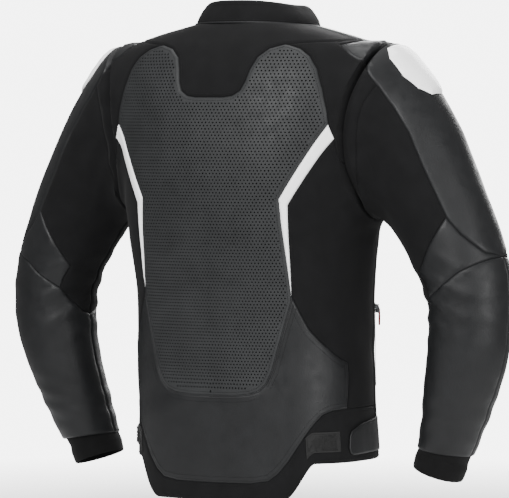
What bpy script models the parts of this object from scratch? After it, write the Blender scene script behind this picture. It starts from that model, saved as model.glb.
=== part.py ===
"""Leather riding jacket, zipped up and worn by nobody, as an assembly of its sewn panels and fittings.

Metres, +Z up. The front faces -Y and the wearer's left arm is at +X. The pieces are modelled with the tail
of the back at Z = 0, and then hang from an empty that puts the middle of the neck opening at the origin.
One hollow shell (torso and both sleeves) is cut along the seams into leather and textile panels. Armour,
lining, zips, tabs and sliders are then added to it.
"""

import math

import bmesh
import bpy
from mathutils import Matrix, Vector

# ---- Driving dimensions --------------------------------------------------------------------------

WALL = 0.0024  # leather with its backing
SEAM = 0.0004  # half of the open line between two neighbouring panels
CLEAR = 0.0010  # between a piece and the panel it lies on
WELD = 0.00008  # points closer than this are one
REACH = 0.30  # how far a cutter runs through the jacket
ARMOUR = 0.0080
LINING = 0.0010
PATCH = 0.0018  # tabs, hook strips and zip tapes sewn on the outside
SLIDER_RISE = 0.0050  # the hard shoulder sliders

HEM_LEVEL = 0.054
TAIL_FADE = 0.175  # above this level the dropped tail has no effect
NECK_LEVEL = 0.664
SHOULDER_LEVEL = 0.56  # the neckline's slant starts here
NECK_RISE = 0.004  # of the neck seam at the nape
TAIL_SIDE, TAIL_RUN = 0.62, 0.26  # the tail begins at this sine of the angle, and is full after the run
THROAT_DROP = 0.034
BACK_SQUARENESS = 0.77  # 1 is an ellipse, and less is squarer
FRONT_SQUARENESS = 0.80
TORSO_STEPS = 32
TORSO_RINGS = 16
FRONT_DEPTH = 0.130  # at the hem
FRONT_SLOPE = 0.075  # the straight front edge leans back by this much per metre of height

# level, half width, depth of the back
TORSO_SECTIONS = (
    (0.054, 0.172, 0.126),
    (0.160, 0.168, 0.133),
    (0.290, 0.171, 0.138),
    (0.390, 0.182, 0.150),
    (0.470, 0.190, 0.152),
    (0.540, 0.202, 0.143),
    (0.592, 0.206, 0.128),
    (0.626, 0.198, 0.110),
    (0.644, 0.162, 0.096),
    (0.656, 0.120, 0.085),
    (0.664, 0.082, 0.075),
)

SLEEVE_STEPS = 18
SLEEVE_RINGS = 16

# centre x, y, z, how far the arm's direction dips below the horizontal, half height, half depth
SLEEVE_SECTIONS = (
    (0.135, 0.000, 0.515, 8, 0.054, 0.048),
    (0.172, 0.000, 0.520, 14, 0.092, 0.074),
    (0.198, 0.000, 0.521, 20, 0.106, 0.081),
    (0.236, 0.000, 0.487, 40, 0.090, 0.076),
    (0.272, 0.000, 0.435, 57, 0.075, 0.070),
    (0.309, 0.000, 0.368, 67, 0.067, 0.065),
    (0.337, 0.000, 0.292, 84, 0.062, 0.062),
    (0.335, 0.000, 0.215, 97, 0.056, 0.057),
    (0.313, -0.008, 0.135, 105, 0.047, 0.050),
    (0.286, -0.020, 0.064, 109, 0.038, 0.041),
)
CUFF_LENGTH = 0.026
CUFF_SHRINK = 0.94

COLLAR_HEIGHT = 0.031
COLLAR_WALL = 0.0046
COLLAR_LIFT = 0.0006  # of the collar outside the neck seam
COLLAR_SIDE_DIP = 0.22  # the sides are lower than the front and the back by this share
COLLAR_SIDE_LEAN = 0.24
COLLAR_LEAN_POWER = 1.6
COLLAR_BACK_LEAN = 0.16
COLLAR_RINGS = 3

ZIP_TAPE_HALF = 0.0150  # half width of the front zip with both tapes
ZIP_TEETH_HALF = 0.0032
ZIP_GAP = 0.0005
ZIP_HEAD = 0.655  # the closed end of the front zip, at the collar's edge
POCKET_THETA = math.radians(-33)
POCKET_T_HEAD, POCKET_T_FOOT = 0.185, 0.095  # heights of a pocket zip's ends, as shares of the torso
POCKET_LIMITS = (0.100, 0.200)  # the pocket tapes lie between these, in X
POCKET_TAPE_HALF = 0.011

ZIP_FOOT_RISE = 0.012  # the front zip's teeth start this far above the hem
ZIP_REST = 0.014  # the closed slider waits this far below the zip's head
POCKET_REST = 0.008
TEETH_RISE = 0.0016
TEETH_BEVEL = 0.0003
FITTING_GAP = 0.0006  # between the teeth and a slider
POCKET_FITTING_GAP = 0.0008
SLIDER_SIZE = (0.0090, 0.0040, 0.0120)
SLIDER_BEVEL = 0.0008
SLIDER_TAPER = 0.8
PULL_WIDTH = 0.0075
PULL_THICKNESS = 0.0016
PULL_BEVEL = 0.0005
PULL_HOLE_RADIUS = 0.00175
PULL_AHEAD = 0.0054  # the middle of a pull is this far in front of the slider's back
MAIN_PULL_LENGTH = 0.030
POCKET_PULL_LENGTH = 0.024

PAD_HALF = 0.055  # half width of a shoulder pad, in Y
SLIDER_FRONT, SLIDER_REAR = -0.040, 0.038  # a shoulder slider's limits, in Y
HOOK_GAP = 0.002  # between a waist tab and its hook strip
LINING_SLOT_HALF = 0.020  # the lining stays this far from the front zip
LOOP_SIZE = (0.060, 0.0016, 0.008)
LOOP_BEVEL = 0.0004
LOOP_PLACE = (0.0, 0.0545, 0.6560)

# ---- Seam lines, as (x, z) outlines seen from behind, for the wearer's left half -----------------

BACK_PANEL = (
    (0.000, 0.147), (0.060, 0.150), (0.080, 0.158), (0.092, 0.180), (0.1187, 0.280),
    (0.1187, 0.300), (0.116, 0.421), (0.169, 0.524), (0.162, 0.560), (0.151, 0.600), (0.135, 0.622),
    (0.105, 0.637), (0.000, 0.637),
)
YOKE = (
    (0.000, 0.563), (0.030, 0.563), (0.047, 0.571), (0.056, 0.592), (0.062, 0.615),
    (0.078, 0.632), (0.135, 0.637), (0.135, 0.720), (0.000, 0.720),
)
STRIPE = ((0.1187, 0.287), (0.1105, 0.4216), (0.1677, 0.5246), (0.1726, 0.506), (0.1212, 0.4138))
LOWER_BACK = (
    (0.000, 0.025), (0.085, 0.029), (0.103, 0.042), (0.154, 0.126), (0.1640, 0.130),
    (0.1640, 0.193), (0.145, 0.232), (0.1187, 0.286), (0.000, 0.286),
)
HEM_TOP = 0.126
SIDE_FRONT = -0.045  # the side panels end here, in Y
GUSSET_FOOT = 0.20
BELOW, ABOVE, ASIDE = -0.100, 0.720, 0.300  # heights and a half width beyond the whole jacket
SIDE_INNER, SIDE_FOOT, SIDE_TOP = 0.100, 0.100, 0.520  # limits of a side panel
FRONT_REAR = 0.060  # the front leather reaches over the shoulders to here, in Y
BACK_SHOULDER = (
    (0.050, 0.720), (0.050, 0.497), (0.172, 0.497), (0.175, 0.478), (0.186, 0.464), (0.260, 0.450),
    (0.260, 0.720),
)
ARMHOLE = (
    (0.228, 0.720), (0.228, 0.600), (0.206, 0.530), (0.199, 0.465), (0.192, 0.400),
    (0.215, 0.300), (0.500, 0.300), (0.500, 0.720),
)
OUTER_SLEEVE = (
    (0.176, 0.720), (0.176, 0.622), (0.230, 0.578), (0.275, 0.515), (0.303, 0.455), (0.335, 0.395),
    (0.372, 0.300), (0.500, 0.300), (0.500, 0.720),
)
ELBOW_TOP = ((0.200, 0.322), (0.480, 0.337))
ELBOW_FOOT = ((0.180, 0.262), (0.480, 0.281))
CUFF_EDGE = ((0.180, 0.047), (0.400, 0.078))
SHOULDER_SLIDER = (
    (0.212, 0.680), (0.214, 0.628), (0.232, 0.604), (0.262, 0.578), (0.300, 0.560), (0.340, 0.600),
    (0.340, 0.680),
)
SHOULDER_ARMOUR = ((0.190, 0.700), (0.205, 0.585), (0.262, 0.500), (0.400, 0.440), (0.400, 0.700))
ELBOW_ARMOUR = ((0.340, 0.130), (0.352, 0.250), (0.420, 0.250), (0.420, 0.130))
BACK_PROTECTOR = (
    (0.000, 0.170), (0.062, 0.180), (0.088, 0.240), (0.094, 0.400), (0.120, 0.500), (0.100, 0.560),
    (0.000, 0.570),
)
TAB = ((0.100, 0.064), (0.215, 0.064), (0.215, 0.112), (0.100, 0.112))
TAB_FRONT = -0.048
TAB_REAR = 0.056
HOOK_STRIP = ((0.100, 0.070), (0.215, 0.070), (0.215, 0.098), (0.100, 0.098))
HOOK_REAR = 0.098

BLACK_TEXTILE = (0.016, 0.016, 0.017)
BLACK_LEATHER = (0.030, 0.031, 0.033)
MESH_LEATHER = (0.040, 0.042, 0.045)
KNIT = (0.012, 0.012, 0.012)
WHITE = (0.80, 0.81, 0.82)
STEEL = (0.30, 0.30, 0.31)
FOAM = (0.55, 0.42, 0.12)
RED = (0.35, 0.02, 0.02)


# ---- Scene helpers -------------------------------------------------------------------------------


def clear_scene():
    for obj in list(bpy.data.objects):
        bpy.data.objects.remove(obj, do_unlink=True)


def material(name, colour, roughness, metallic=0.0):
    made = bpy.data.materials.new(name)
    made.use_nodes = True
    made.diffuse_color = (*colour, 1.0)
    shader = made.node_tree.nodes["Principled BSDF"]
    shader.inputs["Base Color"].default_value = (*colour, 1.0)
    shader.inputs["Roughness"].default_value = roughness
    shader.inputs["Metallic"].default_value = metallic
    return made


def make_object(name, bm, finish=None):
    bmesh.ops.recalc_face_normals(bm, faces=bm.faces)
    mesh = bpy.data.meshes.new(name)
    bm.to_mesh(mesh)
    bm.free()
    obj = bpy.data.objects.new(name, mesh)
    bpy.context.scene.collection.objects.link(obj)
    if finish:
        dress(obj, finish)
    return obj


def dress(obj, finish):
    obj.data.materials.clear()
    obj.data.materials.append(finish)
    obj.data.shade_smooth()
    obj.data.set_sharp_from_angle(angle=math.radians(35))


def discard(*objects):
    for obj in objects:
        bpy.data.objects.remove(obj, do_unlink=True)


def copy_of(obj, name):
    made = obj.copy()
    made.data = obj.data.copy()
    made.name = name
    bpy.context.scene.collection.objects.link(made)
    return made


def bake(obj):
    """Replaces the object's mesh by what its modifiers make of it, in clean triangles."""
    graph = bpy.context.evaluated_depsgraph_get()
    made = bpy.data.meshes.new_from_object(obj.evaluated_get(graph))
    obj.modifiers.clear()
    bm = bmesh.new()
    bm.from_mesh(made)
    bmesh.ops.triangulate(bm, faces=bm.faces)
    bmesh.ops.remove_doubles(bm, verts=bm.verts, dist=WELD)
    bmesh.ops.dissolve_degenerate(bm, dist=WELD, edges=bm.edges)
    bmesh.ops.holes_fill(bm, edges=bm.edges, sides=4)
    bmesh.ops.triangulate(bm, faces=bm.faces)
    bm.to_mesh(made)
    bm.free()
    obj.data = made


def combine(obj, other, operation):
    """Boolean of the object with the other, which stays as it was."""
    modifier = obj.modifiers.new(operation.lower(), "BOOLEAN")
    modifier.object = other
    modifier.operation = operation
    modifier.solver = "EXACT"
    bake(obj)
    return obj


# ---- Body surfaces -------------------------------------------------------------------------------


def spline(rows, t):
    """The rows read as a smooth curve, at t from 0 to 1 (Catmull-Rom)."""
    last = len(rows) - 1
    at = min(max(t, 0.0), 1.0) * last
    i = min(int(at), last - 1)
    u = at - i
    p0, p1 = rows[max(i - 1, 0)], rows[i]
    p2, p3 = rows[i + 1], rows[min(i + 2, last)]
    return [
        0.5 * (2 * b + (c - a) * u + (2 * a - 5 * b + 4 * c - d) * u**2 + (3 * b - a - 3 * c + d) * u**3)
        for a, b, c, d in zip(p0, p1, p2, p3)
    ]


def smooth_step(x):
    x = min(max(x, 0.0), 1.0)
    return x * x * (3 - 2 * x)


def tail_drop(theta):
    """How far the hem hangs below its level: all of it at the middle of the back."""
    return HEM_LEVEL * smooth_step((math.sin(theta) - TAIL_SIDE) / TAIL_RUN)


def neck_share(level):
    """1 at the neck seam, where the nape is higher and the throat lower, and 0 from the chest down."""
    return smooth_step((level - SHOULDER_LEVEL) / (NECK_LEVEL - SHOULDER_LEVEL))


def front_depth(z):
    """Distance of the straight front edge from the side plane, at height z."""
    return FRONT_DEPTH - FRONT_SLOPE * (z - HEM_LEVEL)


def torso_point(theta, t, lift):
    """Theta 0 is the wearer's left side and 90 degrees the middle of the back; t runs from hem to neck."""
    level, width, back = spline(TORSO_SECTIONS, t)
    c, s = math.cos(theta), math.sin(theta)
    share = neck_share(level)
    if s > 0:
        power, depth, lean = BACK_SQUARENESS, back, NECK_RISE * share * s
    else:
        lean = THROAT_DROP * share * s**3
        power, depth = FRONT_SQUARENESS, front_depth(level - THROAT_DROP * share)
    x = (width + lift) * math.copysign(abs(c) ** power, c)
    y = (depth + lift) * math.copysign(abs(s) ** power, s)
    drop = tail_drop(theta) * (1 - smooth_step((level - HEM_LEVEL) / (TAIL_FADE - HEM_LEVEL)))
    return Vector((x, y, level - drop + lean))


def collar_point(theta, t, lift):
    """The standing collar: t runs from the neck seam to its top edge."""
    base = torso_point(theta, 1.0, lift)
    c, s = math.cos(theta), math.sin(theta)
    rise = COLLAR_HEIGHT * t * (1 - COLLAR_SIDE_DIP * c * c)
    side = 1 - COLLAR_SIDE_LEAN * t**COLLAR_LEAN_POWER
    if s > 0:
        return Vector((base.x * side, base.y * (1 - COLLAR_BACK_LEAN * t), base.z + rise))
    edge = (front_depth(base.z + rise) + lift) / (front_depth(base.z) + lift)
    return Vector((base.x * side, base.y * edge, base.z + rise))


def sleeve_frame(t):
    x, y, z, dip, height, depth = spline(SLEEVE_SECTIONS, t)
    along = Vector((math.cos(math.radians(dip)), 0.0, -math.sin(math.radians(dip))))
    outward = Vector((-along.z, 0.0, along.x))
    return Vector((x, y, z)), along, outward, height, depth


def sleeve_point(phi, t, lift):
    """Phi 0 is the outer line of the arm and 90 degrees its back; t runs from shoulder to cuff."""
    centre, _, outward, height, depth = sleeve_frame(t)
    aft = Vector((0.0, 1.0, 0.0))
    return centre + outward * (height + lift) * math.cos(phi) + aft * (depth + lift) * math.sin(phi)


def loft(name, rings):
    """A closed solid through rings of points, with a fan of triangles closing each end."""
    bm = bmesh.new()
    loops = [[bm.verts.new(p) for p in ring] for ring in rings]
    for lower, upper in zip(loops, loops[1:]):
        for i in range(len(lower)):
            j = (i + 1) % len(lower)
            bm.faces.new((lower[i], lower[j], upper[j], upper[i]))
    for loop in (loops[0], loops[-1]):
        middle = bm.verts.new(sum((v.co for v in loop), Vector()) / len(loop))
        for one, other in zip(loop, loop[1:] + loop[:1]):
            bm.faces.new((one, other, middle))
    return make_object(name, bm)


def torso_solid(name, lift, past=0.0):
    """The torso's volume, carried on past the neck and the hem by a distance."""
    turns = [2 * math.pi * i / TORSO_STEPS for i in range(TORSO_STEPS)]
    rings = [[torso_point(a, k / TORSO_RINGS, lift) for a in turns] for k in range(TORSO_RINGS + 1)]
    if past:
        rings.insert(0, [p - Vector((0, 0, past)) for p in rings[0]])
        rings.append([p + Vector((0, 0, past)) for p in rings[-1]])
    return loft(name, rings)


def sleeve_solid(name, lift, past=0.0):
    turns = [2 * math.pi * i / SLEEVE_STEPS for i in range(SLEEVE_STEPS)]
    rings = [[sleeve_point(a, k / SLEEVE_RINGS, lift) for a in turns] for k in range(SLEEVE_RINGS + 1)]
    along = sleeve_frame(1.0)[1]
    foot = rings[-1]
    middle = sum(foot, Vector()) / len(foot)
    reach = CUFF_LENGTH + past
    shrink = 1 - (1 - CUFF_SHRINK) * reach / CUFF_LENGTH
    rings.append([middle + (p - middle) * shrink + along * reach for p in foot])
    return loft(name, rings)


def mirrored(obj, name):
    """A copy on the wearer's other side."""
    made = copy_of(obj, name)
    made.data.transform(Matrix.Scale(-1, 4, (1, 0, 0)))
    made.data.flip_normals()
    return made


def jacket_volume(name, lift, past=0.0):
    body = torso_solid(name, lift, past)
    left = sleeve_solid("sleeve_volume", lift, past)
    right = mirrored(left, "sleeve_volume_right")
    combine(body, left, "UNION")
    combine(body, right, "UNION")
    discard(left, right)
    return body


def hollow(name, outer_lift, wall):
    shell = jacket_volume(name, outer_lift)
    core = jacket_volume("core", outer_lift - wall, 0.02)
    combine(shell, core, "DIFFERENCE")
    discard(core)
    return shell


# ---- Cutting along seams -------------------------------------------------------------------------


def grown(outline, by):
    """The closed outline with every side moved outward by a distance."""
    area = sum(a[0] * b[1] - b[0] * a[1] for a, b in zip(outline, outline[1:] + outline[:1]))
    points = list(outline) if area > 0 else list(outline)[::-1]
    result = []
    for before, at, after in zip(points[-1:] + points[:-1], points, points[1:] + points[:1]):
        first = (Vector(at) - Vector(before)).normalized()
        second = (Vector(after) - Vector(at)).normalized()
        n1, n2 = Vector((first.y, -first.x)), Vector((second.y, -second.x))
        bisector = (n1 + n2).normalized()
        result.append(Vector(at) + bisector * by / max(bisector.dot(n1), 0.4))
    return result


def prism(outline, near, far, grow=0.0):
    """A cutter: the (x, z) outline run along Y from near to far."""
    points = grown([tuple(p) for p in outline], grow)
    bm = bmesh.new()
    base = bm.faces.new([bm.verts.new((p.x, near, p.y)) for p in points])
    pushed = bmesh.ops.extrude_face_region(bm, geom=[base])["geom"]
    moved = [v for v in pushed if isinstance(v, bmesh.types.BMVert)]
    bmesh.ops.translate(bm, verts=moved, vec=(0, far - near, 0))
    cutter = make_object("cutter", bm)
    cutter.hide_render = True
    cutter.display_type = "WIRE"
    return cutter


def both_halves(outline):
    """A left half outline, whose ends lie on the centre line, with its mirror image."""
    return list(outline) + [(-x, z) for x, z in reversed(outline) if x > 0]


def other_side(outline):
    return [(-x, z) for x, z in reversed(outline)]


def take(name, shell, outline, near, far, finish):
    """Cuts one panel out of the shell along its seam line, and takes it and the seam off the shell."""
    panel = copy_of(shell, name)
    inner = prism(outline, near, far, -SEAM)
    outer = prism(outline, near - SEAM, far + SEAM, SEAM)
    combine(panel, inner, "INTERSECT")
    combine(shell, outer, "DIFFERENCE")
    discard(inner, outer)
    dress(panel, finish)
    return panel


def take_pair(stem, shell, outline, near, far, finish):
    take(stem + "_left", shell, outline, near, far, finish)
    take(stem + "_right", shell, other_side(outline), near, far, finish)


def below_line(line, foot=-0.10):
    (x0, z0), (x1, z1) = line
    return ((x0, z0), (x1, z1), (x1, foot), (x0, foot))


# ---- Shell panels --------------------------------------------------------------------------------


def build_sleeves(shell, leather, textile, knit):
    take_pair("cuff", shell, below_line(CUFF_EDGE), -REACH, REACH, knit)
    take_pair("forearm_leather", shell, below_line(ELBOW_FOOT), -REACH, REACH, leather)
    take_pair("elbow_gusset", shell, below_line(ELBOW_TOP, GUSSET_FOOT), -REACH, REACH, leather)
    take_pair("shoulder_leather", shell, OUTER_SLEEVE, -REACH, REACH, leather)
    take_pair("upper_sleeve_textile", shell, ARMHOLE, -REACH, REACH, textile)


def build_back(shell, leather, mesh_leather, textile, white):
    take("neck_yoke", shell, both_halves(YOKE), 0.0, REACH, textile)
    take_pair("reflective_stripe", shell, STRIPE, 0.0, REACH, white)
    take("back_panel_perforated", shell, both_halves(BACK_PANEL), 0.0, REACH, mesh_leather)
    take("lower_back_leather", shell, both_halves(LOWER_BACK), 0.0, REACH, leather)
    take_pair("back_shoulder_textile", shell, BACK_SHOULDER, 0.0, REACH, textile)


def build_sides(shell, textile):
    """The hem band runs round the back, and the side panels reach a little way onto the front."""
    band = ((0.0, BELOW), (ASIDE, BELOW), (ASIDE, HEM_TOP), (0.0, HEM_TOP))
    take("hem_band", shell, both_halves(band), SIDE_FRONT, REACH, textile)
    side = ((SIDE_INNER, SIDE_FOOT), (ASIDE, SIDE_FOOT), (ASIDE, SIDE_TOP), (SIDE_INNER, SIDE_TOP))
    take_pair("side_panel_textile", shell, side, SIDE_FRONT, REACH, textile)


def build_front(shell, leather, textile):
    tape = ((ZIP_GAP, BELOW), (ZIP_TAPE_HALF, BELOW), (ZIP_TAPE_HALF, ABOVE), (ZIP_GAP, ABOVE))
    take_pair("main_zip_tape", shell, tape, -REACH, 0.0, textile)
    front = ((0.0, BELOW), (ASIDE, BELOW), (ASIDE, ABOVE), (0.0, ABOVE))
    take_pair("front_leather", shell, front, -REACH, FRONT_REAR, leather)


# ---- Collar --------------------------------------------------------------------------------------


def front_slot(half):
    """A cutter that opens the front from below the hem to above the collar."""
    return prism(((-half, BELOW), (half, BELOW), (half, ABOVE), (-half, ABOVE)), -REACH, 0.0)


def collar_volume(name, lift, past=0.0):
    turns = [2 * math.pi * i / TORSO_STEPS for i in range(TORSO_STEPS)]
    rings = [[collar_point(a, k / COLLAR_RINGS, lift) for a in turns] for k in range(COLLAR_RINGS + 1)]
    shift = Vector((0, 0, past or -2 * SEAM))
    rings[0] = [p - shift for p in rings[0]]
    if past:
        rings[-1] = [p + shift for p in rings[-1]]
    return loft(name, rings)


def collar_ring(name, lift, wall, finish):
    ring = collar_volume(name, lift)
    core = collar_volume("core", lift - wall, 0.010)
    slot = front_slot(ZIP_TEETH_HALF)
    combine(ring, core, "DIFFERENCE")
    combine(ring, slot, "DIFFERENCE")
    discard(core, slot)
    dress(ring, finish)
    return ring


# ---- Pieces inside and outside the shell ---------------------------------------------------------


def build_armour(foam):
    pads = hollow("pads", -WALL - CLEAR, ARMOUR)
    take_pair("shoulder_armour", pads, SHOULDER_ARMOUR, -PAD_HALF, PAD_HALF, foam)
    take_pair("elbow_armour", pads, ELBOW_ARMOUR, -REACH, REACH, foam)
    take("back_protector", pads, both_halves(BACK_PROTECTOR), 0.0, REACH, foam)
    discard(pads)


def build_lining(fabric):
    """The torso's lining, open at the neck, the hem, the front and both armholes."""
    lift = -WALL - ARMOUR - 2 * CLEAR
    lining = torso_solid("body_lining", lift)
    core = torso_solid("core", lift - LINING, 0.02)
    sleeve = sleeve_solid("armhole", lift)
    other = mirrored(sleeve, "armhole_right")
    slot = front_slot(LINING_SLOT_HALF)
    for cutter in (core, sleeve, other, slot):
        combine(lining, cutter, "DIFFERENCE")
    discard(core, sleeve, other, slot)
    dress(lining, fabric)


def build_patches(leather, hooks, white):
    """The pieces sewn on the outside: waist tabs, their hook strips and the hard shoulder sliders."""
    patches = hollow("patches", CLEAR + PATCH, PATCH)
    take_pair("waist_tab", patches, TAB, TAB_FRONT, TAB_REAR, leather)
    take_pair("hook_strip", patches, HOOK_STRIP, TAB_REAR + HOOK_GAP, HOOK_REAR, hooks)
    foot, head = pocket_end(POCKET_T_FOOT), pocket_end(POCKET_T_HEAD)
    inner, outer = POCKET_LIMITS
    pocket = ((inner, foot.z), (outer, foot.z), (outer, head.z), (inner, head.z))
    near, far = head.y - POCKET_TAPE_HALF, head.y + POCKET_TAPE_HALF
    take_pair("pocket_zip_tape", patches, pocket, near, far, hooks)
    discard(patches)
    caps = hollow("caps", CLEAR + SLIDER_RISE, SLIDER_RISE)
    take_pair("shoulder_slider", caps, SHOULDER_SLIDER, SLIDER_FRONT, SLIDER_REAR, white)
    discard(caps)


# ---- Zip hardware --------------------------------------------------------------------------------


def block(name, size, finish, bevel, taper=1.0):
    """A bevelled block, narrower at its top end by the taper, centred on its origin."""
    bm = bmesh.new()
    bmesh.ops.create_cube(bm, size=1.0)
    for v in bm.verts:
        v.co.x *= size[0] * (taper if v.co.z > 0 else 1.0)
        v.co.y *= size[1]
        v.co.z *= size[2]
    bmesh.ops.bevel(bm, geom=bm.edges, offset=bevel, segments=2, affect="EDGES", profile=0.5)
    return make_object(name, bm, finish)


def place(obj, at, facing, lean=0.0):
    """Puts the object at a point, turned so that its -Y side faces along the given heading."""
    turn = Matrix.Rotation(facing, 4, "Z") @ Matrix.Rotation(lean, 4, "X")
    obj.matrix_world = Matrix.Translation(at) @ turn
    return obj


def pull_tab(name, length, finish):
    """A flat pull that hangs from its origin, with a finger hole at its lower end."""
    tab = block(name, (PULL_WIDTH, PULL_THICKNESS, length), finish, PULL_BEVEL)
    tab.data.transform(Matrix.Translation((0, 0, -length / 2 - PULL_THICKNESS / 2)))
    bm = bmesh.new()
    radius = PULL_HOLE_RADIUS
    bmesh.ops.create_cone(bm, cap_ends=True, segments=12, radius1=radius, radius2=radius, depth=0.02)
    bmesh.ops.rotate(bm, verts=bm.verts, matrix=Matrix.Rotation(math.pi / 2, 3, "X"))
    bmesh.ops.translate(bm, verts=bm.verts, vec=(0, 0, 2 * PULL_HOLE_RADIUS - length))
    hole = make_object("hole", bm)
    combine(tab, hole, "DIFFERENCE")
    discard(hole)
    dress(tab, finish)
    return tab


def zip_fitting(stem, at, facing, lean, length, metal, finish):
    """A slider body in front of the teeth, and the pull that hangs on it."""
    slider = block(stem + "_slider", SLIDER_SIZE, metal, SLIDER_BEVEL, SLIDER_TAPER)
    pull = pull_tab(stem + "_pull", length, finish)
    ahead = Matrix.Rotation(facing, 3, "Z") @ Vector((0, -1, 0))
    place(slider, at + ahead * SLIDER_SIZE[1] / 2, facing, lean)
    place(pull, at + ahead * PULL_AHEAD, facing, lean)
    return slider, pull


def front_point(z):
    return Vector((0.0, -front_depth(z), z))


def pocket_end(t):
    return torso_point(POCKET_THETA, t, 0.0)


def build_zips(metal, textile, red):
    """Front zip: one row of closed teeth and its slider at the throat; a pocket zip on each side."""
    lean = math.atan(FRONT_SLOPE)
    foot, head = front_point(HEM_LEVEL + ZIP_FOOT_RISE), front_point(ZIP_HEAD)
    ahead = Vector((0, -1, 0))
    size = (2 * ZIP_TEETH_HALF, TEETH_RISE, (head - foot).length)
    teeth = block("main_zip_teeth", size, metal, TEETH_BEVEL)
    place(teeth, (foot + head) / 2 + ahead * (CLEAR + TEETH_RISE / 2), 0.0, -lean)
    throat = front_point(ZIP_HEAD - ZIP_REST) + ahead * (CLEAR + TEETH_RISE + FITTING_GAP)
    zip_fitting("main_zip", throat, 0.0, -lean, MAIN_PULL_LENGTH, metal, textile)
    foot, head = pocket_end(POCKET_T_FOOT), pocket_end(POCKET_T_HEAD)
    around = torso_point(POCKET_THETA + 0.05, POCKET_T_HEAD, 0.0) - head
    outward = Vector((around.y, -around.x, 0.0)).normalized()
    clear = CLEAR + PATCH + POCKET_FITTING_GAP
    start = head + (foot - head).normalized() * POCKET_REST + outward * clear
    facing = math.atan2(outward.y, outward.x) + math.pi / 2
    for side, label in ((1, "left"), (-1, "right")):
        at = Vector((side * start.x, start.y, start.z))
        zip_fitting("pocket_zip_" + label, at, side * facing, 0.0, POCKET_PULL_LENGTH, metal, red)


def build_neck_loop(textile):
    """The flat hanger loop sewn inside the back of the neck."""
    loop = block("hanger_loop", LOOP_SIZE, textile, LOOP_BEVEL)
    place(loop, Vector(LOOP_PLACE), 0.0)


def hang_from_neck():
    """Everything hangs from the middle of the neck opening, which becomes the origin."""
    neck = bpy.data.objects.new("neck_opening", None)
    bpy.context.scene.collection.objects.link(neck)
    for obj in bpy.data.objects:
        if obj.type == "MESH" and obj.parent is None:
            obj.parent = neck
    neck.location = (0, 0, -NECK_LEVEL)


def main():
    clear_scene()
    leather = material("black_leather", BLACK_LEATHER, 0.45)
    mesh_leather = material("perforated_leather", MESH_LEATHER, 0.5)
    textile = material("stretch_textile", BLACK_TEXTILE, 0.8)
    knit = material("cuff_knit", KNIT, 0.9)
    white = material("white_reflective", WHITE, 0.35)
    hooks = material("hook_tape", KNIT, 0.95)
    foam = material("armour_foam", FOAM, 0.7)
    metal = material("dark_metal", STEEL, 0.35, 0.9)
    red = material("red_cord_pull", RED, 0.6)
    shell = hollow("shell", 0.0, WALL)
    build_sleeves(shell, leather, textile, knit)
    build_back(shell, leather, mesh_leather, textile, white)
    build_sides(shell, textile)
    build_front(shell, leather, textile)
    discard(shell)
    collar_ring("collar", COLLAR_LIFT, COLLAR_WALL, textile)
    build_armour(foam)
    build_lining(hooks)
    build_patches(leather, hooks, white)
    build_zips(metal, textile, red)
    build_neck_loop(textile)
    hang_from_neck()


main()
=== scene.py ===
import math

import bmesh
import bpy
import numpy as np
from mathutils import Matrix, Vector, noise
from mathutils.bvhtree import BVHTree
from mathutils.geometry import delaunay_2d_cdt
from mathutils.kdtree import KDTree


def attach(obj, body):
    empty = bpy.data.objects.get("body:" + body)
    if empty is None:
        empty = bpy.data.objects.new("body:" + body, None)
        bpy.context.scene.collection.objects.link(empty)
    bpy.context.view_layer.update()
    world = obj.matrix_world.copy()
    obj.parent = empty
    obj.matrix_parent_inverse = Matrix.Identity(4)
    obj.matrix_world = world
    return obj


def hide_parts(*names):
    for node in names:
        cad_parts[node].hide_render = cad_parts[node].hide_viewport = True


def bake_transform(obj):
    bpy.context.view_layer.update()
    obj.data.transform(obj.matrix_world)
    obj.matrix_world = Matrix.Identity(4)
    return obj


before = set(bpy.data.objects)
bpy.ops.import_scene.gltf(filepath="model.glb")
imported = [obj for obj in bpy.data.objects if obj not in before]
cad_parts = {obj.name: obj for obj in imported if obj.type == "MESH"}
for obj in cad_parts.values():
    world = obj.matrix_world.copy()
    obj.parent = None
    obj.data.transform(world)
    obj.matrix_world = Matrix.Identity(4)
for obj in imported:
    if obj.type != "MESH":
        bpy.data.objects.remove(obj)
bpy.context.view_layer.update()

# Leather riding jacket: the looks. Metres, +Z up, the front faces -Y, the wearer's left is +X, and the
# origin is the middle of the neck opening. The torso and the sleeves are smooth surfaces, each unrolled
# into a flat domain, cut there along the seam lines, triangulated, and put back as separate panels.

# ---- Shape of the jacket -------------------------------------------------------------------------

NECK_LEVEL = 0.664
NECK_RISE = 0.004
THROAT_DROP = 0.034
HEM_LEVEL = 0.054
TAIL_FADE = 0.175
BACK_POWER = 0.77
FRONT_POWER = 0.80
FRONT_DEPTH = 0.130
FRONT_SLOPE = 0.075
FILLET = 0.060  # how softly sleeve and torso run into each other

# level, half width, depth of the back
TORSO_SECTIONS = (
    (0.054, 0.172, 0.126),
    (0.160, 0.168, 0.133),
    (0.290, 0.171, 0.138),
    (0.390, 0.182, 0.150),
    (0.470, 0.190, 0.152),
    (0.540, 0.202, 0.143),
    (0.592, 0.206, 0.128),
    (0.626, 0.198, 0.110),
    (0.644, 0.162, 0.096),
    (0.656, 0.120, 0.085),
    (0.664, 0.082, 0.075),
)

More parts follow.
